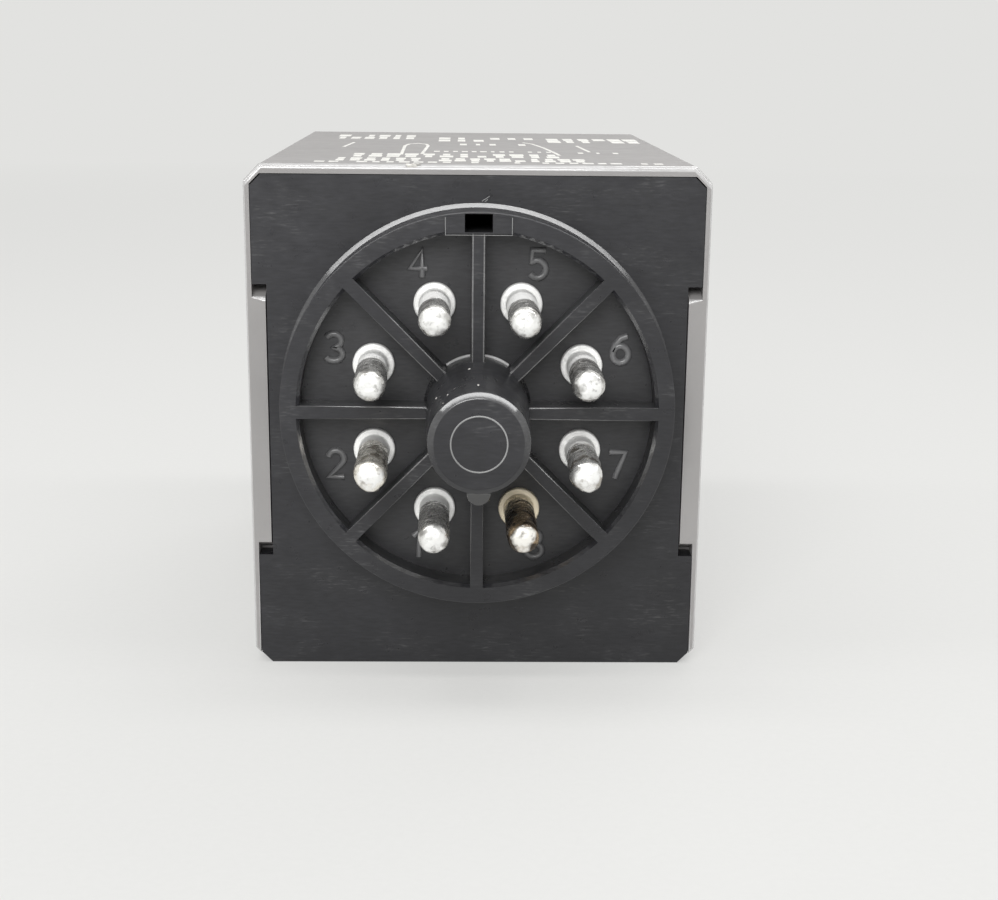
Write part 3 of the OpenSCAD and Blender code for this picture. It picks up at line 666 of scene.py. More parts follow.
FINISHES: dict[Union[Slot, Extra], Finish] = {
    Slot.CASE_GREY: MouldedPlastic(
        shade(155, 153, 152), rough=0.62, drift=0.03, grain=0.2, relief=0.004, gloss=0.12, edge=0.45,
        scuff=0.12, scuff_colour=shade(220),
    ),
    # Base plastic with painted light and shade: tone inside the ring, shadow on the key, slope of light.
    Slot.BASE_BLACK: HandledPlastic(
        shade(39, 39, 42), rough=0.32, drift=0.12, grain=0.22, relief=0.0016, gloss=0.45, edge=0.5,
        scuff=0.34, scuff_colour=shade(150), deep=shade(50, 50, 52),
    ),
    Slot.PIN_PLATING: PinPlating(),
    Slot.TINNED_WIRE: PlainMetal(shade(205, 205, 200), rough=0.3),
    Slot.FACE_BLACK: MouldedPlastic(shade(44, 44, 46), rough=0.5, drift=0.1, grain=0.15, relief=0.004),
    Slot.KNOB_GREY: MouldedPlastic(shade(172, 171, 168), rough=0.42, drift=0.05, grain=0.25, relief=0.006),
    Slot.SHAFT_PLASTIC: MouldedPlastic(shade(205, 203, 196), rough=0.4, drift=0.06),
    Slot.SWITCH_BLACK: MouldedPlastic(shade(46, 47, 50), rough=0.4, drift=0.1),
    Slot.SELECTOR_WHITE: MouldedPlastic(shade(226, 224, 216), rough=0.38, drift=0.05),
    Slot.LENS_GREEN: Lens(shade(60, 168, 84)),
    Slot.LENS_AMBER: Lens(shade(226, 140, 42)),
    Slot.BOARD_GREEN: CircuitBoard(shade(38, 88, 58), shade(66, 118, 76)),
    Slot.CHIP_BLACK: MouldedPlastic(shade(42, 42, 44), rough=0.55, drift=0.08, grain=0.1, relief=0.01),
    Slot.CAN_BLUE: MouldedPlastic(shade(34, 46, 96), rough=0.3, drift=0.08),
    Slot.CAPACITOR_RED: MouldedPlastic(shade(142, 48, 40), rough=0.35, drift=0.08, grain=0.5, relief=0.02),
    Slot.VARISTOR_BLUE: MouldedPlastic(shade(46, 84, 158), rough=0.38, drift=0.08, grain=0.6, relief=0.03),
    Slot.RESISTOR_TAN: MouldedPlastic(shade(190, 158, 112), rough=0.4, drift=0.1, grain=0.4, relief=0.02),
    Slot.RELAY_BROWN: MouldedPlastic(shade(92, 58, 38), rough=0.45, drift=0.12),
    Slot.SOFT_IRON: PlainMetal(shade(150, 152, 156), rough=0.38),
    Slot.BOBBIN_IVORY: MouldedPlastic(shade(222, 212, 186), rough=0.42, drift=0.06),
    Slot.COPPER: Winding(shade(186, 104, 62)),
    Slot.CONTACT_BRONZE: PlainMetal(shade(200, 160, 96), rough=0.28),
    Slot.SPRING_STEEL: PlainMetal(shade(168, 168, 170), rough=0.25),
    # Pale grey for the post's circle and the plate scrape, and for the painted highlight lines on the slot
    # block.
    Extra.WORN_BLACK: MouldedPlastic(shade(140), rough=0.34, drift=0.2, grain=0.2, relief=0.006),
    # Pale paint for the painted highlight at the post's root.
    Extra.PALE_BLACK: MouldedPlastic(shade(212), rough=0.3, drift=0.35, grain=0.2, relief=0.006),
    # Pin numbers far lighter than the base: a painted sheen on their raised strokes.
    Extra.GLOSSY_BLACK: MouldedPlastic(shade(100, 100, 101), rough=0.22, drift=0.3, grain=0.3, relief=0.002),
    Extra.WHITE_INK: Ink(shade(232, 231, 226)),
    Extra.DUST: Ink(shade(222, 220, 214), thin=0.85),
    Extra.POINTER_PAINT: Ink(shade(240, 239, 234), thin=0.9),
}

STAINED_PIN = PinPlating(
    band=shade(236, 232, 222), stain=shade(112, 100, 82), stain_from=0.52, stain_share=0.7,
)
TARNISHED_PIN = PinPlating(
    bright=shade(240, 238, 232), band=shade(150, 130, 104), stain=shade(44, 38, 33), stain_from=0.44,
    stain_share=0.9, collar=shade(252, 240, 214), band_from=-2.0,
)
# Each pin's band_from sets how far the pale collar colour runs up its shaft: partly tinning, partly painted
# highlight.
PIN_FINISHES: dict[int, PinPlating] = {
    1: PinPlating(band_from=-0.4),
    2: replace(STAINED_PIN, band_from=-0.6),
    3: PinPlating(band_from=1.4),
    4: PinPlating(band_from=3.2),
    5: PinPlating(band_from=3.2),
    6: PinPlating(band_from=1.2, stain_from=0.5),
    7: replace(STAINED_PIN, band_from=0.2, band=shade(236, 235, 232)),
    8: TARNISHED_PIN,
}


class FinishShelf:
    """Makes each material once and hands it out."""

    def __init__(self) -> None:
        """Starts an empty shelf."""
        self._made: dict[str, bpy.types.Material] = {}

    def of(self, kind: Union[Slot, Extra]) -> bpy.types.Material:
        """The material of one of the record's slots or of an extra finish."""
        return self.named(kind.value, FINISHES[kind])

    def named(self, name: str, finish: Finish) -> bpy.types.Material:
        """A material of its own.

        Args:
            name: Name of the material.
            finish: What it is made from.

        Returns:
            The material.
        """
        if name not in self._made:
            self._made[name] = finish.make(name)
        return self._made[name]


SHELF = FinishShelf()


def add_object(name: str, data: bpy.types.ID) -> bpy.types.Object:
    """Puts a mesh, curve, camera or lamp into the scene at the origin.

    Args:
        name: Name of the object.
        data: What it shows.

    Returns:
        The object.
    """
    obj = bpy.data.objects.new(name, data)
    bpy.context.scene.collection.objects.link(obj)
    return obj


def evaluated(carrier: bpy.types.Object) -> bpy.types.Mesh:
    """Turns an object with its modifiers into a plain mesh.

    Args:
        carrier: Object, which is removed.

    Returns:
        The mesh.
    """
    graph = bpy.context.evaluated_depsgraph_get()
    mesh = bpy.data.meshes.new_from_object(carrier.evaluated_get(graph))
    bpy.data.objects.remove(carrier)
    return mesh


def into_mesh(name: str, bm: bmesh.types.BMesh) -> bpy.types.Mesh:
    """Turns an edited mesh into a stored one.

    Args:
        name: Name of the stored mesh.
        bm: Edited mesh, which is freed.

    Returns:
        The stored mesh.
    """
    mesh = bpy.data.meshes.new(name)
    bm.to_mesh(mesh)
    bm.free()
    return mesh


def shell(name: str, bm: bmesh.types.BMesh, material: bpy.types.Material,
          sharp: float = 35.0) -> bpy.types.Object:
    """Turns an edited mesh into a piece with smooth faces and sharp corners.

    Args:
        name: Name of the piece.
        bm: Mesh, which is freed.
        material: Its material.
        sharp: Angle from which an edge stays sharp, in degrees.

    Returns:
        The piece.
    """
    mesh = into_mesh(name, bm)
    mesh.materials.append(material)
    mesh.polygons.foreach_set("use_smooth", [True] * len(mesh.polygons))
    mesh.set_sharp_from_angle(angle=math.radians(sharp))
    return add_object(name, mesh)


def even_normals(obj: bpy.types.Object, near: float = 30.0, reach: float = 65.0) -> bpy.types.Object:
    """Keeps the broad faces flat beside their rounded corners.

    Args:
        obj: Piece to shade.
        near: Angle up to which broad faces shade into each other, in degrees.
        reach: Angle up to which a rounded corner takes the shading of a broad face, in degrees.

    Returns:
        The same piece, with the shading in its mesh.
    """
    bm = bmesh.new()
    bm.from_mesh(obj.data)
    layer = bm.faces.layers.float[EDGE_LAYER]
    close, far = math.cos(math.radians(near)), math.cos(math.radians(reach))
    weights = {f: f.normal * f.calc_area() for f in bm.faces}
    normals = []
    for face in bm.faces:
        limit = far if face[layer] > BURNISHED else close
        for loop in face.loops:
            around = loop.vert.link_faces
            broad = [f for f in around if f[layer] <= BURNISHED and f.normal.dot(face.normal) > limit]
            pool = broad or [f for f in around if f.normal.dot(face.normal) > far]
            normals.append(sum((weights[f] for f in pool), Vector()).normalized())
    bm.free()
    obj.data.normals_split_custom_set(normals)
    return obj


def settle(obj: bpy.types.Object, body: Body, slot: Slot, *nodes: str) -> None:
    """Attaches a finished piece to its body and hides the nodes that it stands for.

    Args:
        obj: Finished piece.
        body: Body that it moves with.
        slot: Not used.
        *nodes: Nodes that it replaces.
    """
    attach(obj, body.value)
    if nodes:
        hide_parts(*nodes)
    log.info("%s: %d faces, on %s", obj.name, len(obj.data.polygons), body.value)


def middle_of(edge: bmesh.types.BMEdge) -> Vector:
    """Middle of an edge, in millimetres."""
    return sum((v.co for v in edge.verts), Vector()) / (2 * MM)


def lathe(profile: Sequence[Point], centre: Point, steps: int) -> bmesh.types.BMesh:
    """Turns a closed profile about an axis that runs along the pins.

    Args:
        profile: Radius and reach beyond the seating face, in millimetres, from axis to axis.
        centre: Place of the axis across the base, in millimetres.
        steps: Number of steps round the axis.

    Returns:
        The closed mesh.
    """
    bm = bmesh.new()
    rings = []
    for radius, reach in profile:
        count = steps if radius > 0 else 1
        angles = [2 * math.pi * k / count for k in range(count)]
        rings.append([
            bm.verts.new(((centre[0] + radius * math.cos(a)) * MM, -reach * MM,
                          (centre[1] + radius * math.sin(a)) * MM)) for a in angles
        ])
    for low, high in zip(rings, rings[1:]):
        for k in range(steps):
            corners = [low[k % len(low)], low[(k + 1) % len(low)],
                       high[(k + 1) % len(high)], high[k % len(high)]]
            unique = list(dict.fromkeys(corners))
            if len(unique) > 2:
                bm.faces.new(unique)
    bmesh.ops.recalc_face_normals(bm, faces=bm.faces)
    return bm


@dataclass(frozen=True)
class Crumb:
    """A rough crumb: fineness of its mesh, share of its size that is rough, and grain in millimetres."""

    fineness: int
    rough: float
    grain: float

    def add(self, bm: bmesh.types.BMesh, middle: Vector, form: Matrix) -> None:
        """Adds one crumb to a mesh.

        Args:
            bm: Mesh that gets the crumb.
            middle: Middle of the crumb, in metres.
            form: Turn and size of the crumb, in millimetres.
        """
        made = bmesh.ops.create_icosphere(bm, subdivisions=self.fineness, radius=MM,
                                          matrix=Matrix.Translation(middle) @ form)
        for v in made["verts"]:
            v.co += (v.co - middle) * self.rough * noise.noise(v.co / (self.grain * MM))


@dataclass(frozen=True)
class Softener:
    """Rounds the corners of a node's own shape."""

    sharp: float = 50.0
    segments: int = 2
    merge: float = 0.001
    flat: float = 0.3

    def copy(self, node: str, *rounds: tuple[float, Rule]) -> bmesh.types.BMesh:
        """Copies a node with its loose triangles joined and its outer corners rounded.

        Args:
            node: Node to copy.
            *rounds: Radius in millimetres and test of the corners that get it, in order.

        Returns:
            The mesh.
        """
        bm = bmesh.new()
        bm.from_mesh(frame["nodes"][node].data)
        bmesh.ops.remove_doubles(bm, verts=bm.verts, dist=self.merge * MM)
        bmesh.ops.dissolve_limit(bm, angle_limit=math.radians(self.flat), verts=bm.verts, edges=bm.edges)
        layer = bm.faces.layers.float.new(EDGE_LAYER)
        limit = math.radians(self.sharp)
        for width, chosen in rounds:
            corners = [e for e in bm.edges if e.calc_face_angle(0.0) > limit and chosen(e)]
            made = bmesh.ops.bevel(bm, geom=corners, offset=width * MM, offset_type="OFFSET",
                                   affect="EDGES", segments=self.segments, profile=0.5,
                                   clamp_overlap=False, loop_slide=False)
            # The new bevel faces get the paler edge colour, partly wear and partly painted highlight.
            for face in made["faces"]:
                face[layer] = 1.0
        return bm


class NodeTool(Tree):
    """A Geometry Nodes tree with named inputs, run on a host mesh and kept as a plain mesh."""

    def __init__(self, name: str, **inputs: str) -> None:
        """Starts a tree.

        Args:
            name: Name of the tree.
            **inputs: Name and kind of each input after the geometry.
        """
        super().__init__(bpy.data.node_groups.new(name, "GeometryNodeTree"))
        face = self.tree.interface
        face.new_socket("Geometry", in_out="INPUT", socket_type="NodeSocketGeometry")
        face.new_socket("Geometry", in_out="OUTPUT", socket_type="NodeSocketGeometry")
        self.keys = {
            label: face.new_socket(label, in_out="INPUT", socket_type=f"NodeSocket{kind}").identifier
            for label, kind in {**inputs, "finish": "Material"}.items()
        }
        self.start = self.node("NodeGroupInput")

    def given(self, label: str) -> Socket:
        """The output that carries one of the tree's inputs."""
        return self.start.outputs[label]

    def vector(self, **parts: Union[Socket, float]) -> Socket:
        """A vector from its parts X, Y and Z."""
        return self.node("ShaderNodeCombineXYZ", parts).outputs["Vector"]

    def chance(self, low: Socket, high: Socket, seed: Socket) -> Socket:
        """A random number between two limits for each point."""
        limits = {2: low, 3: high, "Seed": seed}
        return self.node("FunctionNodeRandomValue", limits, data_type="FLOAT").outputs[1]

    def close(self, geometry: Socket) -> None:
        """Ends the tree: realised instances with their material.

        Args:
            geometry: What the tree has made.
        """
        real = self.node("GeometryNodeRealizeInstances", {"Geometry": geometry})
        parts = {"Geometry": real.outputs["Geometry"], "Material": self.given("finish")}
        dressed = self.node("GeometryNodeSetMaterial", parts)
        self.node("NodeGroupOutput", {"Geometry": dressed.outputs["Geometry"]})

    def run(self, name: str, kind: Extra, place: Matrix, host: Optional[bpy.types.Mesh] = None,
            **values: float) -> bpy.types.Object:
        """Runs the tree.

        Args:
            name: Name of the piece.
            kind: Finish of the piece.
            place: Where the result goes.
            host: Mesh that the tree starts from, which is removed; a single point where none is given.
            **values: Values of the tree's inputs.

        Returns:
            The piece, as a plain mesh at the origin.
        """
        if host is None:
            host = bpy.data.meshes.new("single_point")
            host.from_pydata([(0, 0, 0)], [], [])
        carrier = add_object(f"{name}_carrier", host)
        modifier = carrier.modifiers.new(name, "NODES")
        modifier.node_group = self.tree
        material = SHELF.of(kind)
        for label, value in {**values, "finish": material}.items():
            modifier[self.keys[label]] = value
        mesh = evaluated(carrier)
        bpy.data.meshes.remove(host)
        mesh.name = name
        mesh.transform(place)
        if not mesh.materials:
            mesh.materials.append(material)
        return add_object(name, mesh)


@dataclass(frozen=True)
class Pen:
    """A drawn line: radius in millimetres, flattening and number of sides."""

    radius: float
    flatten: float
    sides: int


class StrokeTool(NodeTool):
    """Round or flattened lines along drawn strokes, in the XY plane."""

    def __init__(self) -> None:
        """Builds the tree."""
        super().__init__("drawn_strokes", radius="Float", flatten="Float", sides="Int")
        line = self.node("GeometryNodeMeshToCurve", {"Mesh": self.start.outputs["Geometry"]})
        ring = self.node("GeometryNodeCurvePrimitiveCircle",
                         {"Resolution": self.given("sides"), "Radius": self.given("radius")})
        tube = self.node("GeometryNodeCurveToMesh", {
            "Curve": line.outputs["Curve"], "Profile Curve": ring.outputs["Curve"], "Fill Caps": True,
        })
        scale = self.vector(X=1.0, Y=1.0, Z=self.given("flatten"))
        flat = self.node("GeometryNodeTransform", {"Geometry": tube.outputs["Mesh"], "Scale": scale})
        smooth = self.node("GeometryNodeSetShadeSmooth", {"Geometry": flat.outputs["Geometry"]})
        self.close(smooth.outputs["Geometry"])

    @staticmethod
    def host(strokes: Sequence[Stroke]) -> bpy.types.Mesh:
        """Puts strokes into a mesh of edges.

        Args:
            strokes: Lines of points, in millimetres.

        Returns:
            The mesh.
        """
        same = 1e-6
        points: list[Place] = []
        edges: list[tuple[int, int]] = []
        for stroke in strokes:
            closed = math.dist(stroke[0], stroke[-1]) < same
            used = stroke[:-1] if closed else stroke
            first = len(points)
            points += [(x * MM, y * MM, 0.0) for x, y in used]
            edges += [(first + i, first + i + 1) for i in range(len(used) - 1)]
            if closed:
                edges.append((first + len(used) - 1, first))
        mesh = bpy.data.meshes.new("strokes")
        mesh.from_pydata(points, edges, [])
        return mesh

    def draw(self, name: str, strokes: Sequence[Stroke], kind: Extra, place: Matrix,
             pen: Pen) -> bpy.types.Object:
        """Draws strokes with a pen, as one piece in its place."""
        return self.run(name, kind, place, self.host(strokes), radius=pen.radius * MM,
                        flatten=pen.flatten, sides=pen.sides)


class TickTool(NodeTool):
    """Equal marks along an arc, in the XY plane."""

    def __init__(self) -> None:
        """Builds the tree."""
        super().__init__("scale_marks", count="Int", radius="Float", start="Float", sweep="Float",
                         length="Float", width="Float", depth="Float")
        points = self.node("GeometryNodePoints", {"Count": self.given("count")})
        index = self.node("GeometryNodeInputIndex").outputs["Index"]
        share = self.math("DIVIDE", index, self.math("SUBTRACT", self.given("count"), 1.0))
        angle = self.math("MULTIPLY_ADD", share, self.given("sweep"), self.given("start"))
        across = self.math("MULTIPLY", self.math("SINE", angle), self.given("radius"))
        up = self.math("MULTIPLY", self.math("COSINE", angle), self.given("radius"))
        spread = self.node("GeometryNodeSetPosition",
                           {"Geometry": points.outputs[0], "Position": self.vector(X=across, Y=up)})
        size = self.vector(X=self.given("width"), Y=self.given("length"), Z=self.given("depth"))
        mark = self.node("GeometryNodeMeshCube", {"Size": size})
        turn = self.vector(Z=self.math("MULTIPLY", angle, -1.0))
        rotation = self.node("FunctionNodeEulerToRotation", {"Euler": turn})
        marks = self.node("GeometryNodeInstanceOnPoints", {
            "Points": spread.outputs["Geometry"], "Instance": mark.outputs["Mesh"],
            "Rotation": rotation.outputs["Rotation"],
        })
        self.close(marks.outputs["Instances"])


class DashTool(NodeTool):
    """Rows of short printed blocks of uneven length, in the XY plane."""

    def __init__(self, shortest: float = 0.45, seed_step: float = 7.0) -> None:
        """Builds the tree.

        Args:
            shortest: Length of the shortest block, as a share of the longest.
            seed_step: Step from the seed of the gaps to the seed of the lengths.
        """
        super().__init__("printed_rows", columns="Int", rows="Int", width="Float", height="Float",
                         block="Float", letter="Float", depth="Float", fill="Float", seed="Int")
        grid = self.node("GeometryNodeMeshGrid", {
            "Size X": self.given("width"), "Size Y": self.given("height"),
            "Vertices X": self.given("columns"), "Vertices Y": self.given("rows"),
        })
        odds = {"Probability": self.given("fill"), "Seed": self.given("seed")}
        chosen = self.node("FunctionNodeRandomValue", odds, data_type="BOOLEAN")
        least = self.math("MULTIPLY", self.given("block"), shortest)
        length = self.chance(least, self.given("block"), self.math("ADD", self.given("seed"), seed_step))
        block = self.node("GeometryNodeMeshCube", {"Size": (1.0, 1.0, 1.0)})
        blocks = self.node("GeometryNodeInstanceOnPoints", {
            "Points": grid.outputs["Mesh"], "Selection": chosen.outputs[3],
            "Instance": block.outputs["Mesh"],
            "Scale": self.vector(X=length, Y=self.given("letter"), Z=self.given("depth")),
        })
        self.close(blocks.outputs["Instances"])


class SpeckTool(NodeTool):
    """Dust specks strewn over a patch of surface."""

    def __init__(self) -> None:
        """Builds the tree."""
        super().__init__("dust_specks", density="Float", smallest="Float", largest="Float", seed="Int")
        points = self.node("GeometryNodeDistributePointsOnFaces", {
            "Mesh": self.start.outputs["Geometry"], "Density": self.given("density"),
            "Seed": self.given("seed"),
        })
        size = self.chance(self.given("smallest"), self.given("largest"), self.given("seed"))
        crumb = self.node("GeometryNodeMeshIcoSphere", {"Radius": 1.0, "Subdivisions": 1})
        crumbs = self.node("GeometryNodeInstanceOnPoints", {
            "Points": points.outputs["Points"], "Instance": crumb.outputs["Mesh"], "Scale": size,
            "Rotation": points.outputs["Rotation"],
        })
        self.close(crumbs.outputs["Instances"])


STROKES = StrokeTool()
TICKS = TickTool()
DASHES = DashTool()
SPECKS = SpeckTool()


def arc(cx: float, cy: float, rx: float, ry: float, start: float, end: float,
        steps: int = 14) -> list[Point]:
    """Points along an elliptical arc.

    Args:
        cx: Centre across.
        cy: Centre up.
        rx: Radius across.
        ry: Radius up.
        start: First angle, in degrees.
        end: Last angle, in degrees.
        steps: Number of steps.

    Returns:
        The points.
    """
    angles = [math.radians(start + (end - start) * i / steps) for i in range(steps + 1)]
    return [(cx + rx * math.cos(a), cy + ry * math.sin(a)) for a in angles]


DIGITS: dict[int, list[Stroke]] = {
    1: [[(0.2, 0.8), (0.5, 1.0), (0.5, 0.0)]],
    2: [[*arc(0.5, 0.7, 0.44, 0.3, 165, -35), (0.05, 0.0), (0.95, 0.0)]],
    3: [[*arc(0.46, 0.75, 0.42, 0.25, 150, -90), *arc(0.46, 0.25, 0.48, 0.25, 88, -155)]],
    4: [[(0.72, 0.0), (0.72, 1.0), (0.04, 0.32), (1.0, 0.32)]],
    5: [[(0.9, 1.0), (0.18, 1.0), (0.1, 0.56), *arc(0.46, 0.32, 0.46, 0.32, 120, -150)]],
    6: [[(0.86, 0.98), (0.5, 0.9), (0.2, 0.66), (0.06, 0.42)], arc(0.5, 0.31, 0.44, 0.31, 0, 360, 24)],
    7: [[(0.04, 1.0), (0.96, 1.0), (0.38, 0.0)]],
    8: [arc(0.5, 0.76, 0.36, 0.24, 0, 360, 24), arc(0.5, 0.26, 0.46, 0.26, 0, 360, 24)],
}


def pin_spot(number: int, radius: float) -> Point:
    """Place in the direction of a pin, at a distance from the post's axis."""
    angle = math.radians(FIRST_PIN - PIN_STEP * (number - 1))
    return radius * math.cos(angle), radius * math.sin(angle)


def on_rear(out: float) -> Matrix:
    """Place on a face that looks back along the pins."""
    return Matrix.Translation((0, out * MM, 0)) @ Matrix.Rotation(math.radians(90), 4, "X")


@dataclass
class RearBase:
    """The black moulding with the ring, the ribs, the keyed post and the pin numbers."""

    floor_face: float = 2.8
    post_tip: float = 11.6
    post_corner: float = 0.06
    post_bevel: float = 0.5
    post_end: float = 0.9
    corner: float = 0.12
    sharp: float = 40.0
    blunt: float = 50.0
    ring_outer: float = HandledPlastic.ring_radius
    plate_face: float = 4.5
    plate_inside: float = 16.0
    plate_edge: float = 0.2
    plate_back: float = 6.0
    block_half: float = 2.5
    block_low: float = 13.5
    block_top: float = 14.81
    block_face: float = -0.12
    block_margin: float = 0.05
    block_lip: float = 0.3
    bevel_slope: float = 45.0
    bevel_spread: float = 4.0
    rub_from: float = -1.5
    rub_to: float = 1.5
    number_radius: float = 12.0
    number_height: float = 2.1
    number_width: float = 1.4
    number_pen: Pen = Pen(0.27, 1.0, 10)
    mark_radius: float = 2.02
    mark_steps: int = 64
    mark_pen: Pen = Pen(0.06, 0.8, 8)
    frame_pen: Pen = Pen(0.032, 0.6, 6)
    scrape_pen: Pen = Pen(0.032, 0.4, 6)
    scrapes: tuple[Stroke, ...] = (
        ((0.28, 15.62), (0.42, 15.74), (0.62, 15.84), (0.86, 16.02)),
        ((0.5, 15.6), (0.66, 15.72), (0.72, 15.78)),
    )
    root_radius: float = 4.07
    root_face: float = 2.62
    root_starts: Point = (54.0, 98.0)
    root_sweep: float = 28.0
    root_pen: Pen = Pen(0.13, 0.8, 6)

    def numbers(self) -> list[Stroke]:
        """Draws the eight pin numbers on the floor of the ring.

        Returns:
            The strokes.
        """
        strokes = []
        for number, drawn in DIGITS.items():
            across, up = pin_spot(number, self.number_radius)
            x, y = across - self.number_width / 2, up - self.number_height / 2
            strokes += [[(x + u * self.number_width, y + v * self.number_height) for u, v in stroke]
                        for stroke in drawn]
        return strokes

    def post_mark(self) -> list[Stroke]:
        """Draws the fine circle on the end of the post."""
        return [arc(0, 0, self.mark_radius, self.mark_radius, 0, 360, self.mark_steps)]

    def block_frame(self) -> list[Stroke]:
        """Draws painted highlight lines along the edges of the slot block."""
        w, low, top = self.block_half, self.block_low, self.block_top
        return [[(-w, top), (-w, low), (w, low), (w, top)]]

    def root_lines(self) -> list[Stroke]:
        """Draws a painted highlight along the root of the post on both sides of the upper rib."""
        r = self.root_radius
        return [arc(0, 0, r, r, start, start + self.root_sweep) for start in self.root_starts]

    def shows(self, edge: bmesh.types.BMEdge) -> bool:
        """Tells a corner that shows from the pin holes, the slot block, the post's end and the skirt.

        Args:
            edge: Corner of the moulding.

        Returns:
            Whether the corner is rounded.
        """
        at = middle_of(edge)
        holes = [pin_spot(n, ContactPins.circle / 2) for n in range(1, PIN_COUNT + 1)]
        in_hole = any(math.dist((at.x, at.z), hole) < ContactPins.collar_radius for hole in holes)
        low, top = self.block_low - self.block_margin, self.block_top + self.block_lip
        in_block = abs(at.x) < self.block_half + self.block_margin and low < at.z < top
        at_end = at.y < self.post_end - self.post_tip
        blunt = edge.calc_face_angle(0.0) < math.radians(self.blunt)
        at_ring = abs(at.y) < self.corner and math.hypot(at.x, at.z) > self.ring_outer
        in_case = max(abs(at.x), abs(at.z)) > self.plate_inside and at.y > self.plate_face - self.plate_edge
        left = in_hole or in_block or at_end or in_case or blunt or at_ring
        return edge.is_convex and at.y < self.plate_back and not left

    def at_post(self, edge: bmesh.types.BMEdge) -> bool:
        """Tells the two edges of the bevel at the post's end."""
        return edge.is_convex and middle_of(edge).y < self.post_bevel - self.post_tip

    def moulding(self) -> bpy.types.Object:
        """Rounds the corners of the moulding and marks its burnished bevels; on the post's end the mark
        fades out downward, so the paler edge colour there is a painted highlight on the upper side as well
        as polish.

        Returns:
            The moulding.
        """
        rounds = ((self.post_corner, self.at_post), (self.corner, self.shows))
        bm = Softener(self.sharp).copy("base", *rounds)
        layer = bm.faces.layers.float[EDGE_LAYER]
        for face in bm.faces:
            slope = math.degrees(math.acos(min(1.0, abs(face.normal.y))))
            at = face.calc_center_median() / MM
            at_bevel = abs(slope - self.bevel_slope) < self.bevel_spread
            # Post's end bevel: its polish and paler edge colour fade out downward, a painted highlight on
            # the upper side.
            if at.y < self.post_bevel - self.post_tip:
                rub_and_highlight = min(1.0, max(0.0, (at.z - self.rub_from) / (self.rub_to - self.rub_from)))
                face[layer] = BURNISHED * rub_and_highlight if slope > self.bevel_spread else 0.0
            # 45-degree bevels: polish and a slightly paler edge colour, partly wear and partly painted
            # highlight.
            elif at_bevel and at.y < self.plate_face and abs(at.y) >= self.corner:
                face[layer] = max(face[layer], BURNISHED)
        return even_normals(shell("base_moulding", bm, SHELF.of(Slot.BASE_BLACK)))

    def build(self) -> None:
        """Makes and settles the pieces of the base."""
        settle(self.moulding(), Body.CASE, Slot.BASE_BLACK, "base")
        drawn = (
            # Pin numbers in a lightened colour: painted sheen.
            ("pin_numbers", self.numbers(), Extra.GLOSSY_BLACK, self.floor_face, self.number_pen),
            ("post_mark", self.post_mark(), Extra.WORN_BLACK, -self.post_tip, self.mark_pen),
            # Painted highlight lines along the slot block's edges.
            ("block_frame", self.block_frame(), Extra.WORN_BLACK, self.block_face, self.frame_pen),
            ("plate_scrape", self.scrapes, Extra.WORN_BLACK, self.plate_face, self.scrape_pen),
            # Painted highlight at the post's root.
            ("root_lines", self.root_lines(), Extra.PALE_BLACK, self.root_face, self.root_pen),
        )
        for name, strokes, kind, out, pen in drawn:
            settle(STROKES.draw(name, strokes, kind, on_rear(out), pen), Body.CASE, Slot.BASE_BLACK)


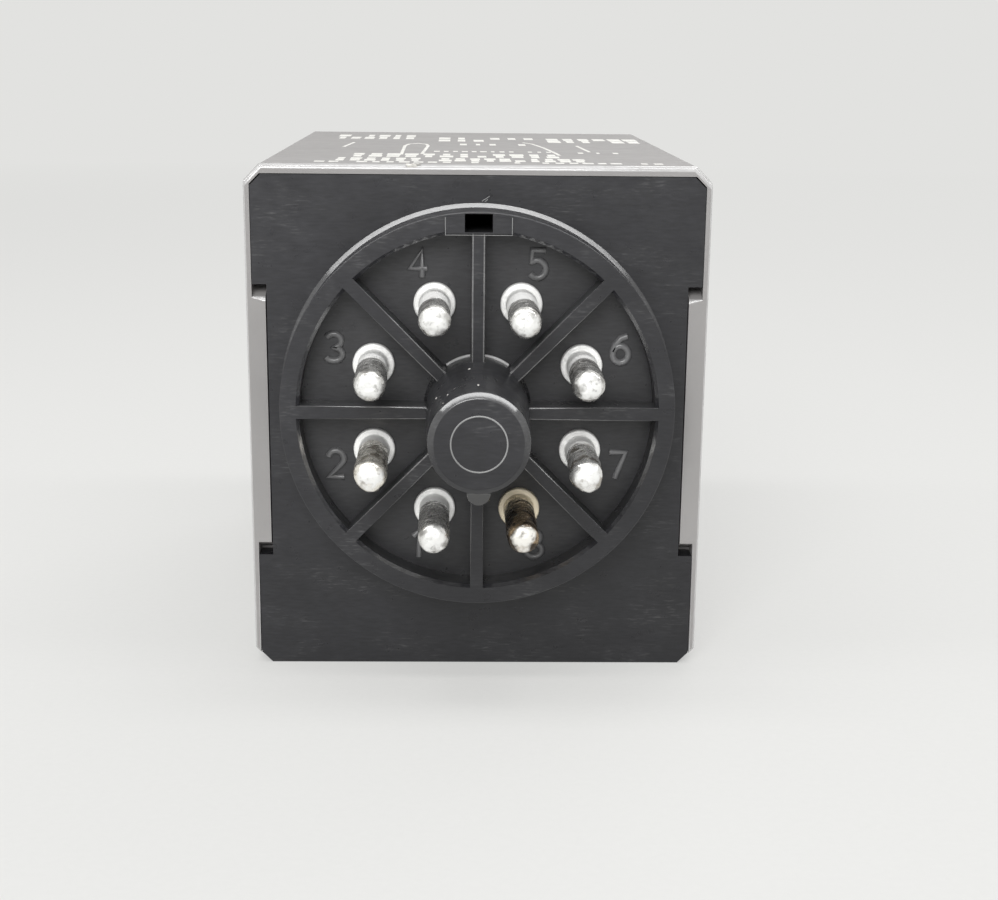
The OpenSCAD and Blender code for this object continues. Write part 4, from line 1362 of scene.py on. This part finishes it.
@dataclass
class ContactPins:
    """Eight turned pins with swaged collars and solder domes."""

    circle: float = 17.45
    radius: float = 1.18
    bore: float = 0.65
    tip: float = 8.15
    collar_radius: float = 1.625
    collar_top: float = -2.3
    collar_edge: float = 0.14
    collar_fillet: float = 0.1
    floor: float = -RearBase.floor_face
    floor_in: float = -4.8
    swage_radius: float = 1.55
    swage_low: float = -5.3
    tail: float = -5.7
    solder_low: float = -3.0
    shoulder: float = 7.2
    bluntness: float = 0.72
    steps: int = 48
    corner_steps: int = 4
    shaft_steps: int = 26
    dome_steps: int = 14
    sharp: float = 50.0
    lumps: tuple[float, ...] = (0.05, 0.15, 0.08, 0.07, 0.07, 0.09, 0.15, 0.1)
    lumps_from: float = 1.0
    lumps_rise: float = 3.0
    lump_size: float = 1.1
    ripple_size: float = 0.5
    ripple_share: float = 0.5
    run_back: float = 0.6
    seed_step: Place = (3.7, 1.3, 5.1)
    leans: tuple[Point, ...] = (
        (0.05, 0.15), (0.14, 0.07), (0.18, 0.15), (0.14, 0.08),
        (0.0, 0.0), (-0.1, 0.2), (-0.05, 0.11), (0.0, 0.22),
    )

    def profile(self) -> list[Point]:
        """Section of a pin from its bore to its tip.

        Returns:
            Radius and reach of each corner.
        """
        r, wide, swage = self.radius, self.collar_radius, self.swage_radius
        inside = [(0.0, self.solder_low), (self.bore, self.solder_low), (self.bore, self.tail),
                  (r, self.tail), (r, self.swage_low), (swage, self.swage_low), (swage, self.floor_in),
                  (r, self.floor_in), (r, self.floor)]
        edge, fillet = self.collar_edge, self.collar_fillet
        base = self.collar_top + fillet
        turns = [math.pi / 2 * i / self.corner_steps for i in range(self.corner_steps + 1)]
        collar = [(wide, self.floor)]
        collar += [(wide - edge + edge * math.cos(a), self.collar_top - edge + edge * math.sin(a))
                   for a in turns]
        collar += [(r + fillet - fillet * math.sin(a), base - fillet * math.cos(a)) for a in turns]
        rows = [i / self.shaft_steps for i in range(1, self.shaft_steps)]
        shaft = [(r, base + (self.shoulder - base) * row) for row in rows]
        turns = [math.pi / 2 * i / self.dome_steps for i in range(self.dome_steps)]
        rise = self.tip - self.shoulder
        dome = [(r * math.cos(a) ** self.bluntness, self.shoulder + rise * math.sin(a) ** self.bluntness)
                for a in turns]
        return [*inside, *collar, *shaft, *dome, (0.0, self.tip)]

    def pin(self, number: int) -> bpy.types.Object:
        """Turns one pin and lets its solder run unevenly.

        Args:
            number: Number of the pin.

        Returns:
            The pin.
        """
        centre = pin_spot(number, self.circle / 2)
        bm = lathe(self.profile(), centre, self.steps)
        axis = Vector((centre[0] * MM, 0, centre[1] * MM))
        lean, amount = self.leans[number - 1], self.lumps[number - 1]
        seed = Vector([number * step for step in self.seed_step])
        for v in bm.verts:
            reach = -v.co.y / MM
            if reach < 0:
                continue
            v.co.x += lean[0] * reach / self.tip * MM
            v.co.z += lean[1] * reach / self.tip * MM
            share = min(1.0, max(0.0, (reach - self.lumps_from) / self.lumps_rise))
            out = Vector((v.co.x - axis.x, 0, v.co.z - axis.z))
            lump = noise.noise(v.co / (self.lump_size * MM) + seed)
            wave = lump + self.ripple_share * noise.noise(v.co / (self.ripple_size * MM) + seed)
            v.co += out * (amount * share * wave / self.radius)
            v.co.y += max(0.0, wave) * amount * share * MM * self.run_back
        finish = SHELF.named(f"pin_plating_{number}", PIN_FINISHES[number])
        return shell(f"contact_pin_{number}", bm, finish, self.sharp)

    def build(self) -> None:
        """Makes and settles the pins."""
        for number in range(1, PIN_COUNT + 1):
            settle(self.pin(number), Body.CASE, Slot.PIN_PLATING, f"pin_{number}")


@dataclass(frozen=True)
class PrintRow:
    """Rows of printed blocks: place to the right and from the rim, count, extent, block, fill and seed."""

    name: str
    place: Point
    columns: int
    rows: int
    width: float
    height: float
    block: float
    letter: float
    fill: float
    seed: int


@dataclass
class Case:
    """The grey case and the print on its top face."""

    top: float = 18.35
    bottom: float = -21.65
    half_width: float = 18.0
    front: float = 60.5
    skin: float = 1.6
    rim: float = RearBase.plate_face
    sharp: float = 40.0
    corner: float = 0.12
    rim_corner: float = 0.4
    rim_depth: float = 2.5
    tongue_top: float = 8.15
    tongue_corner: float = 0.3
    near: float = 0.02
    near_tongue: float = 0.05
    ink: float = 0.03
    printed: tuple[PrintRow, ...] = (
        PrintRow("print_row_small", (0.3, 2.9), 26, 1, 27.5, 0.0, 0.9, 1.3, 0.86, 3),
        PrintRow("print_row_near", (-1.4, 6.4), 17, 2, 19.0, 2.3, 1.05, 1.9, 0.9, 11),
        PrintRow("print_row_middle", (-1.8, 12.4), 12, 2, 16.0, 2.8, 1.2, 2.3, 0.88, 17),
        PrintRow("print_row_fine", (1.4, 18.8), 13, 1, 9.6, 0.0, 0.6, 1.3, 0.8, 13),
        PrintRow("print_row_centre", (1.6, 31.0), 5, 1, 5.4, 0.0, 0.7, 2.6, 0.7, 19),
        PrintRow("print_dots", (10.4, 17.9), 3, 1, 3.0, 0.0, 0.5, 1.6, 1.0, 5),
        PrintRow("print_row_far_left", (-9.6, 44.8), 6, 2, 6.6, 4.6, 1.15, 3.6, 0.86, 23),
        PrintRow("print_row_far_middle", (1.2, 40.6), 6, 2, 8.2, 4.4, 1.2, 3.4, 0.7, 31),
        PrintRow("print_row_far_right", (11.4, 39.8), 6, 2, 7.6, 4.2, 1.45, 3.6, 0.92, 41),
    )
    diagram: tuple[Stroke, ...] = (
        ((-6.3, 13.6), (-6.4, 28.0), (-6.1, 31.0), (-5.3, 32.4), (-4.5, 31.0), (-4.3, 28.0), (-4.6, 14.4)),
        ((4.6, 35.2), (5.3, 33.2), (6.1, 26.0), (6.7, 18.0), (6.9, 13.8)),
        ((-11.3, 33.2), (-11.8, 25.0)),
        ((9.3, 30.0), (9.8, 19.6)),
    )
    diagram_pen: Pen = Pen(0.16, 0.18, 8)
    chipped: tuple[tuple[Place, Place], ...] = (
        ((-5.1, 4.62, 18.22), (0.4, 0.1, 0.16)),
        ((-4.8, 4.9, 18.34), (0.45, 0.35, 0.03)),
        ((-17.4, 36.0, 17.72), (0.08, 0.5, 0.08)),
    )
    chip: Crumb = Crumb(3, 0.6, 0.25)

    def at_top_rim(self, edge: bmesh.types.BMEdge) -> bool:
        """Tells the upper outer edge of the rear rim, with its two cut corners.

        Args:
            edge: Corner of the case.

        Returns:
            Whether the corner gets the wide rounding.
        """
        ends = [v.co / MM for v in edge.verts]
        at_rear = all(abs(end.y - self.rim) < self.near for end in ends)
        outer = all(min(self.top - end.z, self.half_width - abs(end.x)) < self.near for end in ends)
        return at_rear and outer and min(end.z for end in ends) > self.top - self.rim_depth

    def at_tongue(self, edge: bmesh.types.BMEdge) -> bool:
        """Tells the upper front edge of a tongue.

        Args:
            edge: Corner of the case.

        Returns:
            Whether the corner gets the tongue's rounding.
        """
        ends = [v.co / MM for v in edge.verts]
        at_rear = all(abs(end.y - self.rim) < self.near for end in ends)
        return at_rear and all(abs(end.z - self.tongue_top) < self.near_tongue for end in ends)

    def outside(self, edge: bmesh.types.BMEdge) -> bool:
        """Tells the corners of the outer skin from those inside the case.

        Args:
            edge: Corner of the case.

        Returns:
            Whether the corner is rounded.
        """
        at = middle_of(edge)
        across = self.half_width - abs(at.x)
        down = min(self.top - at.z, at.z - self.bottom)
        inner_rim = at.y < self.rim + self.skin and min(across, down) > self.skin / 2
        at_skin = min(across, down) < self.skin or at.y > self.front - self.skin
        return edge.is_convex and at_skin and not inner_rim

    def moulding(self) -> bpy.types.Object:
        """Rounds the corners of the case.

        Returns:
            The case.
        """
        rounds = ((self.rim_corner, self.at_top_rim), (self.tongue_corner, self.at_tongue),
                  (self.corner, self.outside))
        bm = Softener(self.sharp).copy("housing", *rounds)
        return even_normals(shell("case_moulding", bm, SHELF.of(Slot.CASE_GREY)))

    def on_top(self, across: float, back: float) -> Matrix:
        """Place on the top face, right of the middle and back from the rear rim."""
        return Matrix.Translation((across * MM, (self.rim + back) * MM, self.top * MM))

    def rows(self) -> list[bpy.types.Object]:
        """Prints rows of plain blocks where the case carries lines of small print.

        Returns:
            The rows.
        """
        return [
            DASHES.run(row.name, Extra.WHITE_INK, self.on_top(*row.place), columns=row.columns,
                       rows=row.rows, width=row.width * MM, height=row.height * MM, block=row.block * MM,
                       letter=row.letter * MM, depth=self.ink * MM, fill=row.fill, seed=row.seed)
            for row in self.printed
        ]

    def lines(self) -> bpy.types.Object:
        """Prints the lines of a plain connection diagram."""
        place = self.on_top(0.0, 0.0)
        return STROKES.draw("print_diagram", self.diagram, Extra.WHITE_INK, place, self.diagram_pen)

    def chips(self) -> bpy.types.Object:
        """Leaves the white chips on the rim and on the cut corner.

        Returns:
            The chips.
        """
        bm = bmesh.new()
        for place, size in self.chipped:
            self.chip.add(bm, Vector(place) * MM, Matrix.Diagonal((*size, 1)))
        return shell("case_chips", bm, SHELF.of(Extra.DUST))

    def build(self) -> None:
        """Makes and settles the case and its print."""
        settle(self.moulding(), Body.CASE, Slot.CASE_GREY, "housing")
        for piece in (*self.rows(), self.lines(), self.chips()):
            settle(piece, Body.CASE, Slot.CASE_GREY)


@dataclass(frozen=True)
class TickRow:
    """Marks on the front: height of their middle, count, radius, reach to each side, length and width."""

    name: str
    up: float
    count: int
    radius: float
    reach: float
    length: float
    width: float


@dataclass
class FrontDial:
    """The scale plate, the time knob and the range selector's marks."""

    front: float = Case.front
    middle: float = -1.65
    sweep: float = 270.0
    ticks: tuple[TickRow, ...] = (
        TickRow("scale_marks_long", middle, 11, 12.75, sweep / 2, 1.1, 0.3),
        TickRow("scale_marks_short", middle, 51, 12.53, sweep / 2, 0.6, 0.16),
        TickRow("range_marks", -16.65, 4, 3.05, 60.0, 0.6, 0.28),
    )
    last_number: int = 10
    number_radius: float = 14.45
    number_size: float = 2.17
    merge: float = 0.0001
    ink: float = 0.02
    frame_half: float = 15.3
    frame_low: float = -19.3
    frame_high: float = 16.0
    frame_cut: float = 1.2
    frame_pen: Pen = Pen(0.11, 0.2, 8)
    sharp: float = 45.0
    corner: float = 0.18
    knob_top: float = 65.8
    groove: float = 0.5
    pointer_from: float = 4.1
    pointer_to: float = 11.2
    pointer_width: float = 0.95
    pointer_depth: float = 0.32
    pointer_corner: float = 0.1
    pointer_steps: int = 3

    def facing(self, up: float) -> Matrix:
        """Place on the front at a height, seen from the front with its right to the right."""
        turn = Matrix(((-1, 0, 0, 0), (0, 0, 1, 0), (0, 1, 0, 0), (0, 0, 0, 1)))
        return Matrix.Translation((0, self.front * MM, up * MM)) @ turn

    def marks(self, row: TickRow) -> bpy.types.Object:
        """Prints a row of marks.

        Args:
            row: Count, place and size of the marks.

        Returns:
            The marks.
        """
        reach = math.radians(row.reach)
        return TICKS.run(row.name, Extra.WHITE_INK, self.facing(row.up), count=row.count,
                         radius=row.radius * MM, start=-reach, sweep=2 * reach, length=row.length * MM,
                         width=row.width * MM, depth=2 * self.ink * MM)

    def numbers(self) -> bpy.types.Object:
        """Prints the numbers round the scale.

        Returns:
            The numbers, as one mesh.
        """
        bm = bmesh.new()
        radius = self.number_radius * MM
        for value in range(self.last_number + 1):
            angle = math.radians(self.sweep * (value / self.last_number - 0.5))
            curve = bpy.data.curves.new("number", "FONT")
            curve.body = str(value)
            curve.size = self.number_size * MM
            curve.align_x = curve.align_y = "CENTER"
            curve.extrude = self.ink * MM
            mesh = evaluated(add_object("number", curve))
            bpy.data.curves.remove(curve)
            spot = Matrix.Translation((radius * math.sin(angle), radius * math.cos(angle), 0))
            mesh.transform(self.facing(self.middle) @ spot)
            bm.from_mesh(mesh)
            bpy.data.meshes.remove(mesh)
        bmesh.ops.remove_doubles(bm, verts=bm.verts, dist=self.merge * MM)
        bmesh.ops.recalc_face_normals(bm, faces=bm.faces)
        return shell("scale_numbers", bm, SHELF.of(Extra.WHITE_INK))

    def frame_line(self) -> bpy.types.Object:
        """Prints a fine line round the scale plate.

        Returns:
            The line.
        """
        x, low, high, cut = self.frame_half, self.frame_low, self.frame_high, self.frame_cut
        outline = [(-x + cut, low), (x - cut, low), (x, low + cut), (x, high - cut), (x - cut, high),
                   (-x + cut, high), (-x, high - cut), (-x, low + cut), (-x + cut, low)]
        return STROKES.draw("scale_frame", [outline], Extra.WHITE_INK, self.facing(0.0), self.frame_pen)

    def knob(self) -> bpy.types.Object:
        """Rounds the corners of the knob."""
        bm = Softener(self.sharp).copy("time_knob", (self.corner, lambda edge: edge.is_convex))
        return even_normals(shell("knob_moulding", bm, SHELF.of(Slot.KNOB_GREY)))

    def pointer(self) -> bpy.types.Object:
        """Fills the knob's groove with paint.

        Returns:
            The paint.
        """
        bm = bmesh.new()
        bmesh.ops.create_cube(bm, size=1.0)
        size = Vector((self.pointer_width, self.pointer_depth, self.pointer_to - self.pointer_from))
        low = Vector((-size.x / 2, self.knob_top - self.groove, self.middle + self.pointer_from))
        for v in bm.verts:
            v.co = Vector([(a + (c + 0.5) * b) * MM for a, b, c in zip(low, size, v.co)])
        bmesh.ops.bevel(bm, geom=list(bm.edges), offset=self.pointer_corner * MM, affect="EDGES",
                        profile=0.5, segments=self.pointer_steps, clamp_overlap=True)
        return shell("knob_pointer", bm, SHELF.of(Extra.POINTER_PAINT))

    def build(self) -> None:
        """Makes and settles the pieces of the front."""
        settle(self.knob(), Body.DIAL, Slot.KNOB_GREY, "time_knob")
        settle(self.pointer(), Body.DIAL, Slot.KNOB_GREY)
        for piece in (*map(self.marks, self.ticks), self.numbers(), self.frame_line()):
            settle(piece, Body.CASE, Slot.FACE_BLACK)


@dataclass
class Dust:
    """Pale flakes and specks on the upper side of the post, with so many specks to a square metre."""

    post_radius: float = 3.96
    narrowing: float = 0.026
    patch_angles: range = range(35, 146, 10)
    patch_ends: tuple[Point, Point] = ((1.0, 1.0), (-8.0, 0.945))
    density: float = 3.0e5
    smallest: float = 0.012
    largest: float = 0.04
    seed: int = 5
    seen: tuple[Place, ...] = (
        (100, 2.5, 0.13), (144, 5.8, 0.12), (127, 8.6, 0.1), (134, 10.2, 0.09), (91, 8.7, 0.1),
        (118, 8.0, 0.07), (108, 5.2, 0.06), (157, 6.7, 0.08), (60, 4.0, 0.05), (75, 6.5, 0.05),
    )
    flake: Crumb = Crumb(2, 0.5, 0.1)
    flake_form: Place = (1.0, 2.2, 0.4)

    def patch(self) -> bpy.types.Mesh:
        """Lays a strip of faces over the upper side of the post.

        Returns:
            The strip.
        """
        bm = bmesh.new()
        rows = []
        for along, share in self.patch_ends:
            r = share * self.post_radius
            angles = [math.radians(a) for a in self.patch_angles]
            rows.append([bm.verts.new((r * math.cos(a) * MM, along * MM, r * math.sin(a) * MM))
                         for a in angles])
        near, far = rows
        for i in range(len(near) - 1):
            bm.faces.new((near[i], near[i + 1], far[i + 1], far[i]))
        return into_mesh("dust_patch", bm)

    def specks(self) -> bpy.types.Object:
        """Strews the fine specks."""
        return SPECKS.run("post_dust", Extra.DUST, Matrix.Identity(4), self.patch(), density=self.density,
                          smallest=self.smallest * MM, largest=self.largest * MM, seed=self.seed)

    def flakes(self) -> bpy.types.Object:
        """Lays the larger flakes where the photograph shows them.

        Returns:
            The flakes.
        """
        bm = bmesh.new()
        for angle, reach, size in self.seen:
            turn = math.radians(angle)
            r = self.post_radius - self.narrowing * reach
            place = Vector((r * math.cos(turn), -reach, r * math.sin(turn))) * MM
            form = Matrix.Diagonal((*(size * share for share in self.flake_form), 1))
            self.flake.add(bm, place, Matrix.Rotation(math.pi / 2 - turn, 4, "Y") @ form)
        return shell("post_flakes", bm, SHELF.of(Extra.DUST))

    def build(self) -> None:
        """Makes and settles the specks and the flakes."""
        for piece in (self.specks(), self.flakes()):
            settle(piece, Body.CASE, Slot.BASE_BLACK)


@dataclass
class FlexibleLinks:
    """The braids and the spring, each fixed to the case at its foot and to the armature at its top."""

    links: dict[str, Slot] = field(default_factory=lambda: {
        "braid_left": Slot.COPPER, "braid_right": Slot.COPPER, "return_spring": Slot.SPRING_STEEL})

    def build(self) -> None:
        """Makes each link bend and stretch with the armature."""
        for node, slot in self.links.items():
            low, high = (Vector(corner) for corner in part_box(node))
            middle = (low + high) / 2
            piece = shell(f"{node}_link", Softener().copy(node), SHELF.of(slot))
            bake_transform(piece, Body.CASE.value, Body.ARMATURE.value,
                     start=(middle.x, middle.y, low.z), end=(middle.x, middle.y, high.z))
            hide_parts(node)
            log.info("%s: bends with the armature", piece.name)


class Workings:
    """Every node that keeps its own shape, dressed in the finish of its slot."""

    def build(self) -> None:
        """Gives each shown node its finish."""
        for part in frame["record"]["subparts"]:
            node = frame["nodes"][part["node"]]
            if node.hide_render:
                continue
            material = SHELF.of(Slot(part["material_slot"]))
            node.data.materials.clear()
            node.data.materials.append(material)
            log.info("%s: finish %s", node.name, material.name)


@dataclass(frozen=True)
class SoftBox:
    """A lamp: place, aim and size in metres, and power in watts."""

    name: str
    place: Place
    aim: Place
    size: Point
    power: float

    def hang(self) -> None:
        """Puts the lamp into the scene."""
        data = bpy.data.lights.new(self.name, "AREA")
        data.shape = "RECTANGLE"
        data.size, data.size_y = self.size
        data.energy = self.power
        lamp = add_object(self.name, data)
        lamp.location = self.place
        lamp.rotation_euler = (Vector(self.aim) - Vector(self.place)).to_track_quat("-Z", "Y").to_euler()


@dataclass
class Studio:
    """Camera, lamps, world and floor.

    The focal length and the frame's width are in pixels, the clip and the floor's radius in metres.
    """

    focal: float = 1841.0
    frame_width: float = 998.0
    sensor: float = 36.0
    shift: float = 0.15
    clip: Point = (0.01, 20.0)
    eye: Place = (-1.5, -139.5, 26.8)
    pitch: float = 16.64
    yaw: float = 1.35
    roll: float = -0.59
    lamps: tuple[SoftBox, ...] = (
        SoftBox("overhead", (0, -0.0825, 0.6), (0, 0.01, 0), (1.8, 0.115), 4.2),
        SoftBox("front", (-0.1, -0.58, 0.33), (0, 0, 0), (0.35, 0.35), 2.9),
        SoftBox("far_side", (0.25, 0.6, 0.4), (0, 0.05, 0), (0.4, 0.4), 1.0),
    )
    white: Colour = (1.0, 1.0, 1.0)
    sky: float = 0.36
    paper: Colour = shade(226, 226, 224)
    paper_rough: float = 0.85
    paper_gloss: float = 0.2
    paper_share: float = 0.55
    fibre: Pattern = Pattern(0.6, 4.0)
    fibre_shade: float = 0.97
    floor_level: float = Case.bottom
    floor_radius: float = 2.5
    floor_sides: int = 96
    horizon: Point = (150.0, 700.0)

    def camera(self) -> None:
        """Stands the camera where the photograph was taken from."""
        pitch, yaw, roll = (math.radians(a) for a in (self.pitch, self.yaw, self.roll))
        ahead = Vector((math.sin(yaw) * math.cos(pitch), math.cos(yaw) * math.cos(pitch), -math.sin(pitch)))
        level = Vector((math.cos(yaw), -math.sin(yaw), 0))
        rise = Vector((math.sin(yaw) * math.sin(pitch), math.cos(yaw) * math.sin(pitch), math.cos(pitch)))
        right = level * math.cos(roll) - rise * math.sin(roll)
        up = level * math.sin(roll) + rise * math.cos(roll)
        data = bpy.data.cameras.new("camera")
        data.sensor_fit = "HORIZONTAL"
        data.sensor_width = self.sensor
        data.lens = self.focal / self.frame_width * self.sensor
        data.shift_y = self.shift
        data.clip_start, data.clip_end = self.clip
        camera = add_object("camera", data)
        turn = Matrix((right, up, -ahead)).transposed()
        camera.matrix_world = Matrix.Translation(Vector(self.eye) * MM) @ turn.to_4x4()
        bpy.context.scene.camera = camera

    @staticmethod
    def seen(tree: Tree) -> Socket:
        """Adds the test for rays that show the background to the eye, a mirror or glass.

        Args:
            tree: Tree that gets the test.

        Returns:
            The factor socket.
        """
        path = tree.node("ShaderNodeLightPath")
        kinds = ("Camera", "Glossy", "Transmission")
        eye, mirror, glass = (path.outputs[f"Is {kind} Ray"] for kind in kinds)
        return tree.math("MAXIMUM", tree.math("MAXIMUM", eye, mirror), glass)

    def world(self) -> None:
        """Lights the scene evenly and shows pale paper behind it."""
        world = bpy.data.worlds.new("studio")
        bpy.context.scene.world = world
        world.use_nodes = True
        world.node_tree.nodes.clear()
        sky = Tree(world.node_tree)
        light = sky.node("ShaderNodeBackground", {"Color": self.white, "Strength": self.sky})
        paper = sky.node("ShaderNodeBackground", {"Color": self.paper})
        mix = sky.node("ShaderNodeMixShader", {0: self.seen(sky), 1: light.outputs[0], 2: paper.outputs[0]})
        sky.node("ShaderNodeOutputWorld", {"Surface": mix.outputs[0]})

    def floor_paper(self) -> bpy.types.Material:
        """Makes paper that fades into the background with distance.

        Returns:
            The material.
        """
        g = Graph("floor_paper")
        tone = g.vary(self.fibre, scaled(self.paper, self.fibre_shade), self.paper)
        g.surface(base_color=tone, roughness=self.paper_rough, specular_ior_level=self.paper_gloss)
        glow = g.node("ShaderNodeEmission", {"Color": self.paper})
        far = g.math("MULTIPLY", g.spread(g.radius("XY"), *self.horizon), 1 - self.paper_share)
        share = g.math("MULTIPLY", g.math("ADD", self.paper_share, far), self.seen(g))
        looks = {0: share, 1: g.shader.outputs["BSDF"], 2: glow.outputs["Emission"]}
        mix = g.node("ShaderNodeMixShader", looks)
        g.feed(g.output.inputs["Surface"], mix.outputs["Shader"])
        return g.material

    def floor(self) -> None:
        """Lays the pale floor."""
        bm = bmesh.new()
        place = Matrix.Translation((0, 0, self.floor_level * MM))
        bmesh.ops.create_circle(bm, cap_ends=True, segments=self.floor_sides, radius=self.floor_radius,
                                matrix=place)
        mesh = into_mesh("floor", bm)
        mesh.materials.append(self.floor_paper())
        add_object("floor", mesh)

    def build(self) -> None:
        """Sets up the studio."""
        self.camera()
        for lamp in self.lamps:
            lamp.hang()
        self.world()
        self.floor()
        bpy.context.scene.view_settings.view_transform = "Standard"


def main() -> None:
    """Builds the dressed relay and its studio."""
    logging.basicConfig(level=logging.INFO, format="%(name)s: %(message)s")
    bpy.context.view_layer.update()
    for assembly in (Studio(), RearBase(), ContactPins(), Case(), FrontDial(), Dust(), FlexibleLinks(),
                     Workings()):
        assembly.build()


if __name__ == "__main__":
    main()
